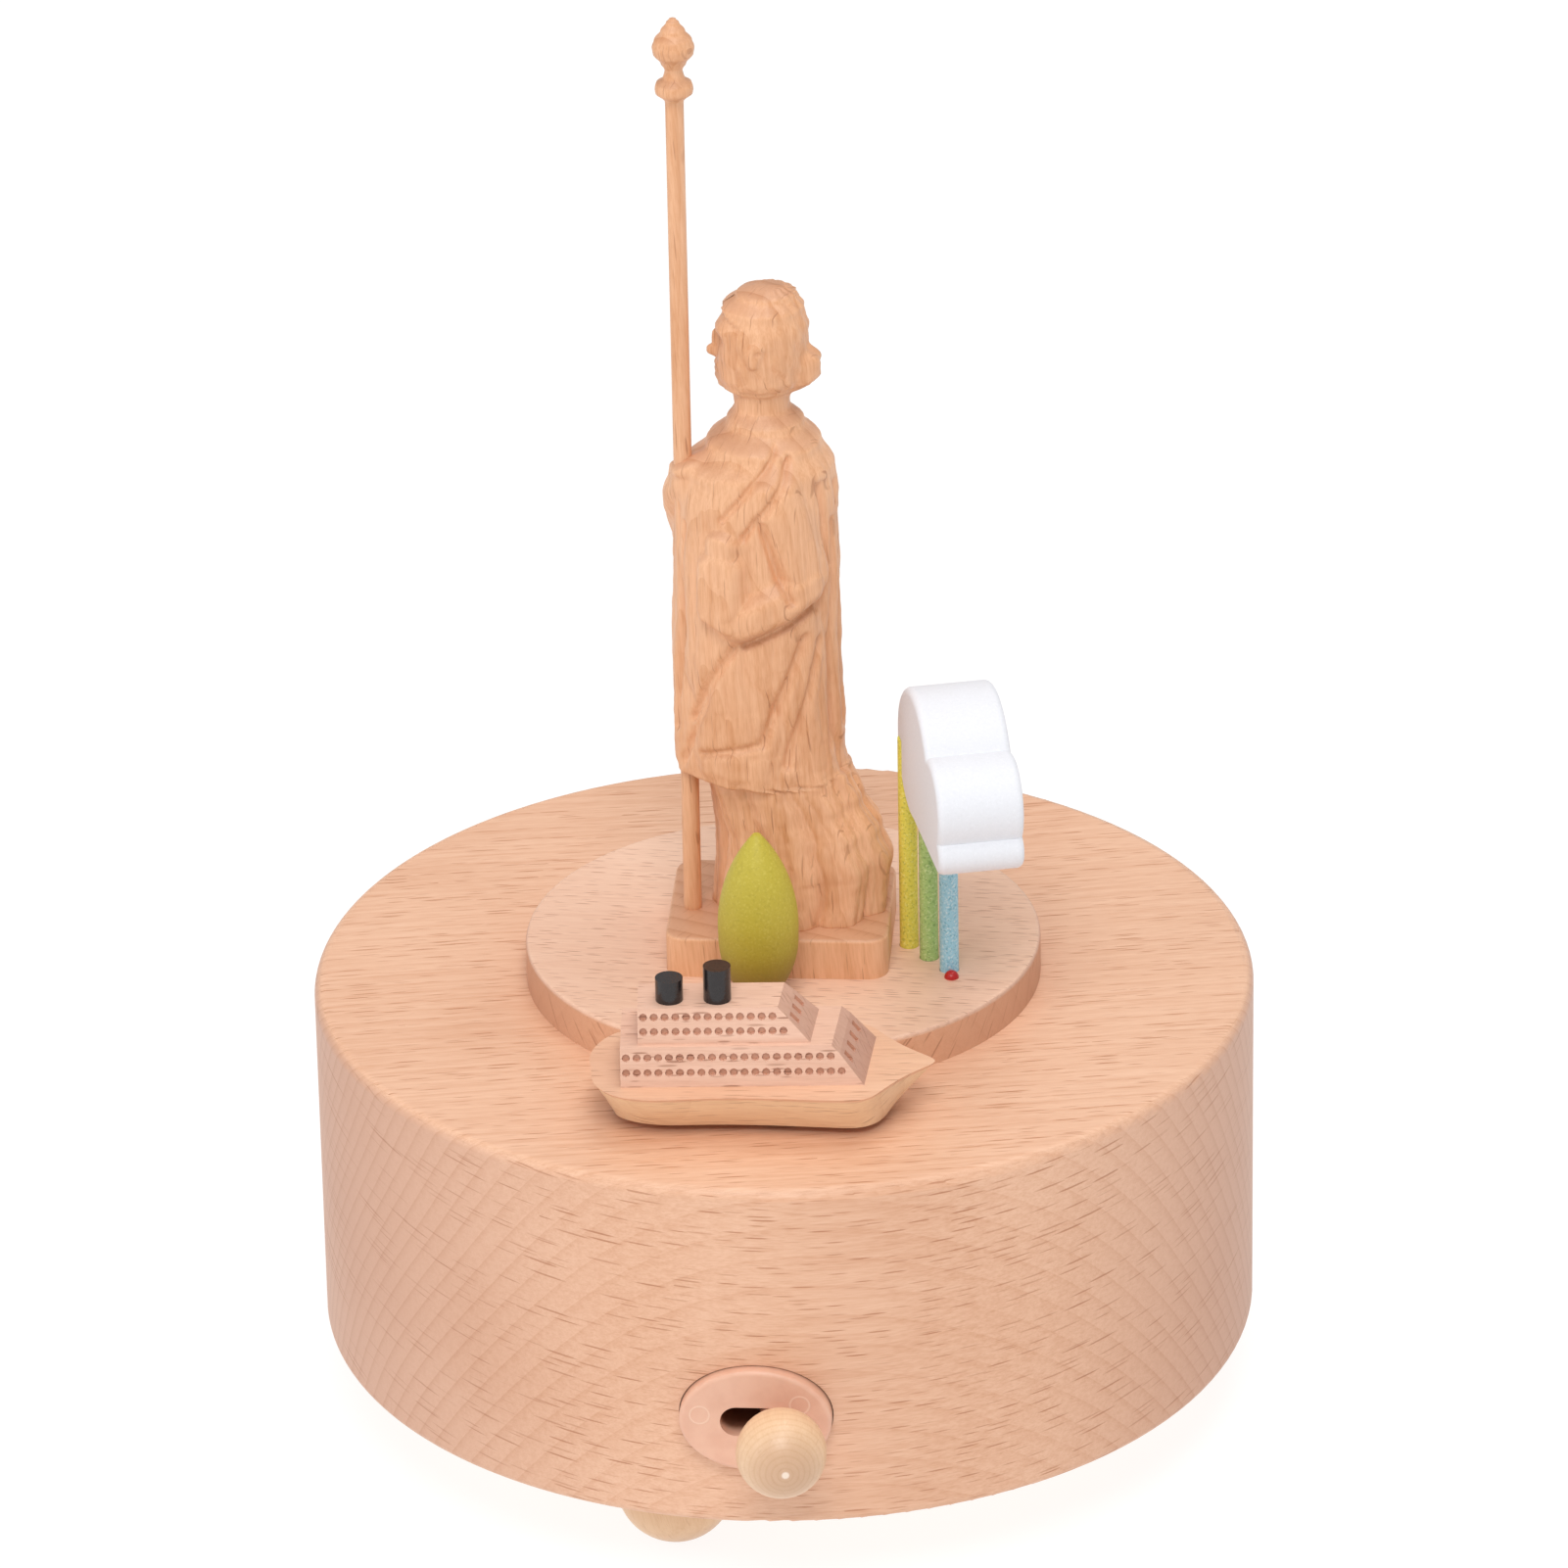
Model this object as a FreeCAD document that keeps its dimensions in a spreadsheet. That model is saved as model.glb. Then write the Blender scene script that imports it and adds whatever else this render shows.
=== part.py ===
import FreeCAD, Part
import math
import os
import Sketcher
from FreeCAD import Placement, Rotation, Vector

# A wind-up wooden music box: a beech drum on ball feet with an 18-note movement inside.
# A hidden magnet on the spindle leads a small wooden ship round the scene on the lid.
# Z points up, the feet stand on Z = 0, the spindle is the Z axis and the switch faces -Y.

doc = FreeCAD.newDocument("music_box")
sheet = doc.addObject("Spreadsheet::Sheet", "Sizes")

# Driving sizes in millimetres and degrees: alias, value, what it is
SIZES = [
    ("drum_dia", 110.0, "outside diameter of the turned drum"),
    ("drum_height", 43.2, "height of the drum"),
    ("drum_top_round", 1.3, "eased top edge"),
    ("drum_foot_round", 1.2, "eased bottom edge"),
    ("cavity_dia", 89.0, "cavity for the movement"),
    ("lid_thick", 4.2, "wood left above the cavity"),
    ("board_thick", 4.0, "floor board"),
    ("board_gap", 0.2, "gap round the floor board"),
    ("foot_clear", 9.3, "drum underside above the table"),
    ("foot_dia", 13.8, "ball foot"),
    ("foot_sink", 0.5, "depth of the flat ground on each ball foot"),
    ("foot_inset", 13.0, "feet inside the drum's side"),
    ("foot_angle", -104.6, "direction of the first foot"),
    ("foot_count", 3, "number of feet"),
    ("tenon_dia", 4.0, "tenon on each foot"),
    ("tenon_length", 3.6, "length of that tenon"),
    ("bond_gap", 0.05, "glue film round a tenon, dowel or pin"),
    ("shaft_gap", 0.05, "radial running clearance of a shaft"),
    ("board_screw_dia", 2.6, "wood screws that hold the floor board"),
    ("board_screw_length", 14.0, "their length"),
    ("board_screw_angle", 90.0, "direction of the first of them"),
    ("board_screw_count", 3, "number of them"),
    ("screw_head_ratio", 1.9, "screw head diameter over shank diameter"),
    ("disc_dia", 60.2, "raised disc on the lid"),
    ("disc_thick", 4.8, "its thickness"),
    ("disc_edge", 0.5, "its eased edge"),
    ("plinth_length", 25.8, "plinth under the carved figure"),
    ("plinth_depth", 20.7, "its depth"),
    ("plinth_thick", 5.0, "its thickness"),
    ("plinth_corner", 2.4, "its rounded corners"),
    ("plinth_centre_back", -1.5, "its centre along Y"),
    ("figure_height", 78.0, "figure above the plinth, to the crown of the head"),
    ("figure_length", 20.0, "figure across its mantle, along X"),
    ("figure_depth", 17.0, "figure across its mantle, along Y"),
    ("robe_folds", 9, "folds round the robe"),
    ("robe_fold_depth", 0.6, "depth of the folds at the hem"),
    ("staff_dia", 2.1, "staff in the figure's hand"),
    ("staff_length", 112.5, "staff above the plinth"),
    ("staff_forward", -10.2, "staff along X"),
    ("staff_side", -3.6, "staff along Y"),
    ("dowel_dia", 5.0, "dowel that holds the figure to the disc"),
    ("dowel_in_figure", 8.0, "its length inside the figure"),
    ("tree_dia", 9.25, "egg-shaped tree"),
    ("tree_height", 20.6, "its height"),
    ("tree_lift", 0.4, "gap under the tree, taken up by its pin's shoulder"),
    ("tree_along", -1.6, "tree along X"),
    ("tree_back", -16.7, "tree along Y"),
    ("small_pin_dia", 1.6, "pin under the tree"),
    ("small_pin_length", 6.0, "its length"),
    ("rod_dia", 2.2, "painted rods that carry the cloud"),
    ("rod_seat", 2.0, "depth of their sockets in the disc"),
    ("rod_inset", 14.9, "yellow rod inside the disc's rim"),
    ("rod_heading", -10.6, "direction of the yellow rod from the spindle"),
    ("rod_pitch", 3.94, "distance between neighbouring rods"),
    ("rod_line", -50.7, "direction of the row of rods"),
    ("bead_dia", 1.7, "red bead at the foot of the blue rod"),
    ("cloud_length", 25.0, "cloud"),
    ("cloud_height", 16.2, "its height"),
    ("cloud_thick", 10.0, "its thickness"),
    ("cloud_clear", 24.4, "its underside above the lid"),
    ("cloud_round", 0.8, "its eased edges"),
    ("cloud_turn", 14.3, "its turn about Z"),
    ("cloud_overlap", 1.6, "cloud behind the yellow rod"),
    ("cloud_side", -0.8, "its left face from the yellow rod"),
    ("plate_length", 17.4, "oval switch plate"),
    ("plate_height", 13.0, "its height"),
    ("plate_proud", 1.4, "how far it stands out of the drum"),
    ("plate_round", 0.5, "its eased edge"),
    ("plate_gap", 0.1, "gap round it in the drum"),
    ("switch_level", 23.6, "height of the switch above the table"),
    ("slot_length", 8.0, "slot for the lever"),
    ("slot_height", 3.7, "its height"),
    ("ear_thick", 2.0, "ears that hold the pivot"),
    ("ear_width", 8.0, "their width"),
    ("ear_reach", 5.9, "their length behind the plate"),
    ("pivot_dia", 2.0, "pivot pin"),
    ("pivot_inset", 2.5, "pivot inside the cavity's side"),
    ("lever_thick", 3.2, "switch lever"),
    ("tongue_dia", 3.0, "its round tongue"),
    ("lever_hub_dia", 6.4, "its hub"),
    ("lever_throw", 2.3, "how far it stands aside in the slot at rest"),
    ("lever_peg_dia", 2.4, "peg in the knob"),
    ("knob_dia", 10.3, "ball knob"),
    ("knob_beyond", 6.3, "knob centre beyond the tongue's end"),
    ("wire_dia", 0.8, "stop wire"),
    ("wire_along", 4.0, "stop wire from the pivot along X"),
    ("wire_back", 7.2, "stop wire from the pivot along Y"),
    ("movement_turn", -49.0, "turn of the movement about the spindle"),
    ("plate_metal", 2.5, "bedplate thickness"),
    ("bed_left", 14.5, "bedplate to the left of the spindle"),
    ("bed_right", 38.5, "bedplate to the right"),
    ("bed_front", 20.5, "bedplate in front"),
    ("bed_back", 20.5, "bedplate behind"),
    ("bed_corner", 4.0, "its corner radius"),
    ("bed_screw_dia", 2.6, "screws that hold the bedplate"),
    ("bed_screw_length", 6.2, "their length"),
    ("spindle_dia", 3.2, "spindle"),
    ("spindle_end_gap", 2.0, "gap between spindle top and cavity roof"),
    ("key_hub_dia", 6.4, "winding key hub"),
    ("key_span", 24.0, "its wings from tip to tip"),
    ("key_thick", 1.7, "thickness of the wings"),
    ("key_lift", 1.4, "key above the table"),
    ("key_gap", 0.3, "gap between key and floor board"),
    ("great_teeth", 30, "teeth of the crown wheel"),
    ("great_module", 0.75, "module of the crown wheel"),
    ("drive_teeth", 12, "teeth of the cylinder's pinion"),
    ("great_face", 2.5, "width of the crown teeth"),
    ("great_web", 2.4, "crown wheel under its teeth"),
    ("axis_level", 24.0, "cylinder axis above the table"),
    ("housing_dia", 27.2, "spring housing"),
    ("housing_wall", 0.8, "its wall"),
    ("housing_top", 31.0, "its top above the table"),
    ("stud_dia", 1.6, "stud that holds the spring's outer end"),
    ("spring_turns", 6, "turns of the mainspring"),
    ("spring_thick", 0.35, "thickness of the spring strip"),
    ("spring_outer", 8.2, "outer radius of the coiled spring"),
    ("spring_width", 8.6, "width of the spring strip"),
    ("cylinder_dia", 13.0, "pinned cylinder"),
    ("cylinder_start", 14.3, "its left end from the spindle"),
    ("cylinder_length", 18.0, "its length"),
    ("note_pin_reach", 0.55, "height of the note pins"),
    ("note_pin_side", 0.35, "their width"),
    ("note_pins", 54, "note pins in all"),
    ("cylinder_shaft_dia", 1.6, "its shaft"),
    ("cheek_thick", 0.8, "bearing plates"),
    ("comb_notes", 18, "teeth of the comb"),
    ("comb_thick", 0.7, "thickness of the comb's teeth"),
    ("comb_slot", 0.22, "slots between them"),
    ("comb_tip_gap", 0.25, "gap between tooth tips and pin tips"),
    ("comb_back", 19.8, "back edge of the comb along Y"),
    ("comb_root_bass", 16.0, "root of the longest tooth"),
    ("comb_root_treble", 12.4, "root of the shortest tooth"),
    ("comb_screw_dia", 2.0, "comb screws"),
    ("wheel_module", 0.5, "module of the governor train"),
    ("cylinder_gear_teeth", 24, "gear on the cylinder"),
    ("step_pinion_teeth", 12, "pinion of the step-up arbor"),
    ("worm_wheel_teeth", 18, "wheel that drives the worm"),
    ("gear_face", 1.0, "width of those gears"),
    ("gear_gap", 0.5, "gap between neighbouring wheels"),
    ("step_arbor_dia", 1.0, "step-up arbor"),
    ("worm_core_dia", 2.2, "worm under its thread"),
    ("worm_offset", 6.1, "worm axis from the step-up arbor"),
    ("worm_shaft_dia", 1.0, "worm shaft"),
    ("fan_dia", 9.0, "air brake"),
    ("fan_height", 3.2, "height of its blades"),
    ("fan_blade", 0.5, "thickness of its blades"),
    ("arm_width", 7.0, "magnet arm"),
    ("arm_thick", 1.5, "its thickness"),
    ("arm_tail", 14.0, "its tail behind the spindle"),
    ("magnet_dia", 6.0, "both magnets"),
    ("magnet_thick", 2.4, "drive magnet"),
    ("magnet_gap", 0.3, "gap between drive magnet and cavity roof"),
    ("ship_heading", 3.3, "where the ship stands on its round"),
    ("ship_offset", 5.5, "middle of the ship outside the disc"),
    ("ship_lift", 1.0, "its hull above the lid"),
    ("deck_level", 6.3, "its deck above the lid"),
    ("deck_half", 9.45, "half its beam at the deck"),
    ("keel_half", 6.0, "half its beam at the bottom"),
    ("hull_shift", 0.1, "its middle line outside its round"),
    ("stern_end", -21.6, "its stern at the deck"),
    ("bow_end", 17.6, "its bow at the deck"),
    ("keel_stern", -19.1, "its stern at the bottom"),
    ("keel_bow", 12.7, "its bow at the bottom"),
    ("ship_clear", 0.45, "gap between the ship and the disc"),
    ("pad_gap", 0.15, "gap between glide pad and lid"),
    ("pad_dia", 7.6, "glide pad"),
    ("ship_magnet_thick", 1.8, "magnet in the ship"),
    ("low_cabin_start", -18.0, "lower cabin, aft end at its foot"),
    ("low_cabin_end", 10.25, "its fore end at its foot"),
    ("low_cabin_rake", 2.8, "how far its front leans back"),
    ("low_cabin_depth", 11.7, "its width at its foot"),
    ("low_cabin_height", 4.6, "its height"),
    ("cabin_draft", 1.0, "how far each side leans in"),
    ("high_cabin_start", -16.0, "upper cabin, aft end"),
    ("high_cabin_end", 4.0, "its fore end at its foot"),
    ("high_cabin_rake", 2.8, "how far its front leans back"),
    ("high_cabin_depth", 8.2, "its width at its foot"),
    ("high_cabin_height", 4.0, "its height"),
    ("cabin_bevel", 0.95, "bevel along the fore edge of each roof"),
    ("cabin_skew", 0.115, "how far a cabin's front runs on for each mm across"),
    ("window_dia", 0.94, "punched windows"),
    ("window_inset", 0.65, "first window from the after end"),
    ("window_depth", 0.35, "their depth"),
    ("window_pitch", 1.22, "distance between them"),
    ("low_windows", 20, "windows in a row of the lower cabin"),
    ("high_windows", 13, "windows in a row of the upper cabin"),
    ("low_slots", 4, "slots in the lower cabin's raked front"),
    ("high_slots", 3, "slots in the upper cabin's raked front"),
    ("front_slot_length", 1.5, "length of those slots"),
    ("funnel_dia", 3.15, "both funnels"),
    ("funnel_shift", 0.8, "both funnels outside the middle of the cabins"),
    ("short_funnel_height", 2.8, "after funnel"),
    ("tall_funnel_height", 4.2, "forward funnel"),
    ("short_funnel_along", -12.4, "after funnel along the ship"),
    ("tall_funnel_along", -6.95, "forward funnel along the ship"),
]
for row, (alias, number, meaning) in enumerate(SIZES, start=1):
    sheet.set(f"A{row}", meaning)
    sheet.set(f"B{row}", str(number))
    sheet.setAlias(f"B{row}", alias)
doc.recompute()

NODES = {}


def size(expression):
    """The number that an expression of sheet sizes gives now."""
    return float(sheet.evalExpression(expression))


def drive(thing, **links):
    """Bind properties of an object to expressions of sheet sizes."""
    for name, expression in links.items():
        thing.setExpression(name.replace("__", "."), expression)


def place(thing, along="0", back="0", up="0"):
    """Bind an object's place to expressions of sheet sizes."""
    for axis, expression in (("x", along), ("y", back), ("z", up)):
        thing.setExpression(f"Placement.Base.{axis}", expression)


def keep(name, thing):
    """Give a finished sub-part its label and list it for export."""
    thing.Label = name
    NODES[name] = thing
    return thing


def cylinder(name, dia, height, along="0", back="0", up="0"):
    thing = doc.addObject("Part::Cylinder", name)
    drive(thing, Radius=f"({dia}) / 2", Height=height)
    place(thing, along, back, up)
    return thing


def cone(name, low_dia, high_dia, height, along="0", back="0", up="0"):
    thing = doc.addObject("Part::Cone", name)
    drive(thing, Radius1=f"({low_dia}) / 2", Radius2=f"({high_dia}) / 2", Height=height)
    place(thing, along, back, up)
    return thing


def block(name, length, width, height, along="0", back="0", up="0"):
    thing = doc.addObject("Part::Box", name)
    drive(thing, Length=length, Width=width, Height=height)
    place(thing, along, back, up)
    return thing


def joined(name, *things):
    thing = doc.addObject("Part::MultiFuse", name)
    thing.Shapes = list(things)
    return thing


def cut(name, base, *tools):
    thing = doc.addObject("Part::Cut", name)
    thing.Base = base
    thing.Tool = tools[0] if len(tools) == 1 else joined(name + "_tools", *tools)
    return thing


def body(name):
    thing = doc.addObject("PartDesign::Body", name)
    return keep(name, thing)


def sketch_on(part, name, role="XY_Plane", level="0"):
    """A sketch on one of the body's own planes, lifted along the plane's normal."""
    sketch = part.newObject("Sketcher::SketchObject", name)
    plane = [item for item in part.Origin.OriginFeatures if item.Role == role][0]
    sketch.AttachmentSupport = [(plane, "")]
    sketch.MapMode = "FlatFace"
    sketch.setExpression("AttachmentOffset.Base.z", level)
    return sketch


def tie(sketch, geometry, corner, across, up):
    """Hold one point of a sketch at two expressions."""
    for kind, expression, axis in (("DistanceX", across, -2), ("DistanceY", up, -1)):
        if expression == "0":
            sketch.addConstraint(Sketcher.Constraint("PointOnObject", geometry, corner, axis))
            continue
        held = Sketcher.Constraint(kind, -1, 1, geometry, corner, size(expression))
        number = sketch.addConstraint(held)
        sketch.setExpression(f"Constraints[{number}]", expression)


def outline(sketch, corners):
    """A closed outline of straight edges through corners of two expressions each."""
    first = sketch.GeometryCount
    count = len(corners)
    points = [Vector(size(across), size(up), 0) for across, up in corners]
    for index in range(count):
        edge = Part.LineSegment(points[index], points[(index + 1) % count])
        sketch.addGeometry(edge, False)
    for index in range(count):
        after = first + (index + 1) % count
        sketch.addConstraint(Sketcher.Constraint("Coincident", first + index, 2, after, 1))
    for index, (across, up) in enumerate(corners):
        tie(sketch, first + index, 1, across, up)


def ring(sketch, dia, across="0", up="0"):
    """A circle in a sketch, its diameter and centre bound to expressions."""
    centre = Vector(size(across), size(up), 0)
    number = sketch.addGeometry(Part.Circle(centre, Vector(0, 0, 1), size(dia) / 2), False)
    held = sketch.addConstraint(Sketcher.Constraint("Diameter", number, size(dia)))
    sketch.setExpression(f"Constraints[{held}]", dia)
    tie(sketch, number, 3, across, up)


def pad(part, sketch, length, name):
    thing = part.newObject("PartDesign::Pad", name)
    thing.Profile = sketch
    drive(thing, Length=length)
    return thing


def pocket(part, sketch, length, name, flip=False):
    thing = part.newObject("PartDesign::Pocket", name)
    thing.Profile = sketch
    thing.Reversed = flip
    drive(thing, Length=length)
    return thing


def turned(part, name, corners):
    """Turn an outline in the XZ plane about the body's Z axis."""
    sketch = sketch_on(part, name + "_profile", "XZ_Plane")
    outline(sketch, corners)
    thing = part.newObject("PartDesign::Revolution", name)
    thing.Profile = sketch
    thing.ReferenceAxis = (sketch, ["V_Axis"])
    return thing


def around(part, feature, count, name):
    """Repeat a feature evenly about the body's Z axis."""
    thing = part.newObject("PartDesign::PolarPattern", name)
    thing.Originals = [feature]
    z_axis = [item for item in part.Origin.OriginFeatures if item.Role == "Z_Axis"][0]
    thing.Axis = (z_axis, [""])
    thing.Angle = 360
    drive(thing, Occurrences=count)
    part.Tip = thing
    return thing


def round_edges(part, feature, name, radius, wanted):
    """Round the edges of a feature that a test picks."""
    doc.recompute()
    picked = []
    for number, edge in enumerate(feature.Shape.Edges, start=1):
        if wanted(edge):
            picked.append(f"Edge{number}")
    thing = part.newObject("PartDesign::Fillet", name)
    thing.Base = (feature, picked)
    drive(thing, Radius=radius)
    return thing


def solid(name, shape, heading=0.0, up=0.0):
    """A sub-part whose form is worked out in code, turned about the spindle."""
    thing = doc.addObject("Part::Feature", name)
    thing.Shape = shape
    thing.Placement = Placement(Vector(0, 0, up), Rotation(Vector(0, 0, 1), heading))
    return keep(name, thing)


def turn_to(thing, heading):
    """Turn an object about the spindle by an expression, keeping its own place."""
    base = thing.Placement.Base
    thing.setExpression("Placement.Rotation.Angle", f"({heading}) * 1 deg")
    thing.Placement = Placement(base, Rotation(Vector(0, 0, 1), size(heading)))
    thing.setExpression("Placement.Rotation.Angle", f"({heading}) * 1 deg")


# Levels and radii that several pieces share
DRUM_RADIUS = "Sizes.drum_dia / 2"
CAVITY_RADIUS = "Sizes.cavity_dia / 2"
WALL_THICK = "(Sizes.drum_dia - Sizes.cavity_dia) / 2"
RABBET_RADIUS = f"{CAVITY_RADIUS} + {WALL_THICK} / 2"
LID_LEVEL = "Sizes.foot_clear + Sizes.drum_height"
ROOF_LEVEL = f"{LID_LEVEL} - Sizes.lid_thick"
BOARD_TOP = "Sizes.foot_clear + Sizes.board_thick"
BED_TOP = f"{BOARD_TOP} + Sizes.plate_metal"
DISC_TOP = f"{LID_LEVEL} + Sizes.disc_thick"
SCREW_PITCH = f"{CAVITY_RADIUS} + {WALL_THICK} / 4"
FOOT_PITCH = f"({DRUM_RADIUS} - Sizes.foot_inset)"
PIVOT_REACH = f"({CAVITY_RADIUS} - Sizes.pivot_inset)"
SHIP_RADIUS = "(Sizes.disc_dia / 2 + Sizes.ship_offset)"
LEVER_REST = (f"(asin(Sizes.lever_throw / ({DRUM_RADIUS} + Sizes.plate_proud - {PIVOT_REACH}))"
              " / 1 deg)")
MOVEMENT_TURN = "Sizes.movement_turn"
SHIP_HEADING = "Sizes.ship_heading"


def at_radius(radius, angle):
    """Expressions for a point at a radius and an angle in degrees."""
    return f"({radius}) * cos(({angle}) * 1 deg)", f"({radius}) * sin(({angle}) * 1 deg)"


# The drum: turned from solid beech, hollowed from below, with a shoulder for the floor board
# and an oval hole through the front wall for the switch plate.
drum = doc.addObject("PartDesign::Body", "drum_turning")
place(drum, up="Sizes.foot_clear")
drum_turning = turned(drum, "drum_blank", [
    (RABBET_RADIUS, "0"),
    (DRUM_RADIUS, "0"),
    (DRUM_RADIUS, "Sizes.drum_height"),
    ("0", "Sizes.drum_height"),
    ("0", "Sizes.drum_height - Sizes.lid_thick"),
    (CAVITY_RADIUS, "Sizes.drum_height - Sizes.lid_thick"),
    (CAVITY_RADIUS, "Sizes.board_thick"),
    (RABBET_RADIUS, "Sizes.board_thick"),
])


def outer_edge_at(level, radius):
    """Test for a round edge of a given level and radius about the spindle."""
    def wanted(edge):
        box = edge.BoundBox
        flat = abs(box.ZMax - size(level)) < 0.01 and abs(box.ZMin - size(level)) < 0.01
        return flat and abs(box.XMax - size(radius)) < 0.05
    return wanted


drum_top = round_edges(drum, drum_turning, "drum_top_edge", "Sizes.drum_top_round",
                       outer_edge_at("Sizes.drum_height", DRUM_RADIUS))
drum_foot = round_edges(drum, drum_top, "drum_foot_edge", "Sizes.drum_foot_round",
                        outer_edge_at("0", DRUM_RADIUS))
pilot_sketch = sketch_on(drum, "pilot_hole", level="Sizes.board_thick")
pilot_x, pilot_y = at_radius(SCREW_PITCH, "Sizes.board_screw_angle")
ring(pilot_sketch, "Sizes.board_screw_dia", pilot_x, pilot_y)
pilot = pocket(drum, pilot_sketch, "Sizes.board_screw_length - Sizes.board_thick",
               "pilot", flip=True)
around(drum, pilot, "Sizes.board_screw_count", "pilots")


def oval(name, length, height, depth, front):
    """An oval bar along Y, its front end at an expression."""
    curve = doc.addObject("Part::Ellipse", name + "_curve")
    drive(curve, MajorRadius=f"({length}) / 2", MinorRadius=f"({height}) / 2")
    curve.Placement = Placement(Vector(0, 0, 0), Rotation(Vector(1, 0, 0), 90))
    place(curve, back=front, up="Sizes.switch_level")
    bar = doc.addObject("Part::Extrusion", name)
    bar.Base = curve
    bar.DirMode = "Custom"
    bar.Dir = Vector(0, 1, 0)
    bar.Solid = True
    drive(bar, LengthFwd=depth)
    return bar


PLATE_FRONT = f"-({DRUM_RADIUS} + Sizes.plate_proud)"
PLATE_DEPTH = f"({WALL_THICK} + Sizes.plate_proud + 0.6)"
plate_hole = oval("plate_hole", "Sizes.plate_length + 2 * Sizes.plate_gap",
                  "Sizes.plate_height + 2 * Sizes.plate_gap",
                  f"{WALL_THICK} * 2", f"-({DRUM_RADIUS} + {WALL_THICK} / 2)")
keep("base_drum", cut("base_drum", drum, plate_hole))

# The floor board: a plywood disc let into the drum, holed for the key shaft, the screws
# and the tenons of the feet.
board = body("floor_board")
place(board, up="Sizes.foot_clear")
board_sketch = sketch_on(board, "board_outline")
ring(board_sketch, f"2 * ({RABBET_RADIUS} - Sizes.board_gap)")
ring(board_sketch, "Sizes.key_hub_dia + 1")
pad(board, board_sketch, "Sizes.board_thick", "board_disc")
for label, count, dia, radius, angle in (
        ("screw_holes", "Sizes.board_screw_count", "Sizes.board_screw_dia + 0.2",
         SCREW_PITCH, "Sizes.board_screw_angle"),
        ("tenon_holes", "Sizes.foot_count", "Sizes.tenon_dia + 2 * Sizes.bond_gap",
         FOOT_PITCH, "Sizes.foot_angle")):
    hole_sketch = sketch_on(board, label + "_sketch")
    ring(hole_sketch, dia, *at_radius(radius, angle))
    hole = pocket(board, hole_sketch, "Sizes.board_thick", label + "_first", flip=True)
    around(board, hole, count, label)

# Screws through the bedplate into the board and through the board into the drum. Heads are
# countersunk cones; each set is one node of separate screws.
BED_SCREWS = [("-Sizes.bed_left + 3.5", "-Sizes.bed_front + 3.5"),
              ("-Sizes.bed_left + 3.5", "Sizes.bed_back - 3.5"),
              ("Sizes.bed_right - 6.5", "2")]


def screw_set(name, dia, length, spots, head_level, point_up):
    """Separate screws at given spots, heads at one level, pointing up or down."""
    screws = []
    for number, (along, back) in enumerate(spots, start=1):
        head_height = f"({dia}) * 0.45"
        head_dia = f"({dia}) * Sizes.screw_head_ratio"
        if point_up:
            head = cone(f"{name}_head_{number}", head_dia, dia, head_height,
                        along, back, head_level)
            shank = cylinder(f"{name}_shank_{number}", dia, length, along, back, head_level)
        else:
            head = cone(f"{name}_head_{number}", dia, head_dia, head_height,
                        along, back, f"{head_level} - {head_height}")
            shank = cylinder(f"{name}_shank_{number}", dia, length,
                             along, back, f"{head_level} - ({length})")
        screws.append(joined(f"{name}_{number}", head, shank))
    whole = doc.addObject("Part::Compound", name)
    whole.Links = screws
    return keep(name, whole)


def spots_around(count, radius, first_angle):
    step = 360.0 / count
    return [at_radius(radius, f"{first_angle} + {step} * {number}") for number in range(count)]


board_spots = spots_around(int(size("Sizes.board_screw_count")), SCREW_PITCH,
                           "Sizes.board_screw_angle")
screw_set("board_screws", "Sizes.board_screw_dia - 0.1", "Sizes.board_screw_length - 1",
          board_spots, "Sizes.foot_clear", True)
countersinks = [cone(f"board_sink_{number}", "Sizes.board_screw_dia * Sizes.screw_head_ratio",
                     "Sizes.board_screw_dia", "Sizes.board_screw_dia * 0.45",
                     along, back, "Sizes.foot_clear")
                for number, (along, back) in enumerate(board_spots, start=1)]
bed_holes = []
for number, (along, back) in enumerate(BED_SCREWS, start=1):
    bed_holes.append(cylinder(f"bed_pilot_{number}", "Sizes.bed_screw_dia",
                              "Sizes.board_thick", along, back, "Sizes.foot_clear"))
bed_pilots = joined("bed_pilots", *bed_holes)
turn_to(bed_pilots, MOVEMENT_TURN)
board.Label = "board_blank"
del NODES["floor_board"]
keep("floor_board", cut("drilled_board", board, bed_pilots, *countersinks))

# The feet: turned balls with a ground flat below, a flat top against the drum and a tenon
# glued into the floor board.
FOOT_CENTRE = "Sizes.foot_dia / 2 - Sizes.foot_sink"
foot_spots = spots_around(int(size("Sizes.foot_count")), FOOT_PITCH, "Sizes.foot_angle")
for number, (along, back) in enumerate(foot_spots, start=1):
    ball = doc.addObject("Part::Sphere", f"foot_ball_{number}")
    drive(ball, Radius="Sizes.foot_dia / 2",
          Angle1=f"-asin(({FOOT_CENTRE}) / (Sizes.foot_dia / 2))",
          Angle2=f"asin((Sizes.foot_clear - ({FOOT_CENTRE})) / (Sizes.foot_dia / 2))")
    place(ball, along, back, FOOT_CENTRE)
    tenon = cylinder(f"foot_tenon_{number}", "Sizes.tenon_dia", "Sizes.tenon_length + 1",
                     along, back, "Sizes.foot_clear - 1")
    keep(f"ball_foot_{number}", joined(f"foot_{number}", ball, tenon))

# The raised disc: turned beech, glued to the lid, drilled for the dowel, pins and rods.
TREE_SPOT = ("Sizes.tree_along", "Sizes.tree_back")
FIRST_ROD = at_radius("Sizes.disc_dia / 2 - Sizes.rod_inset", "Sizes.rod_heading")


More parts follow.
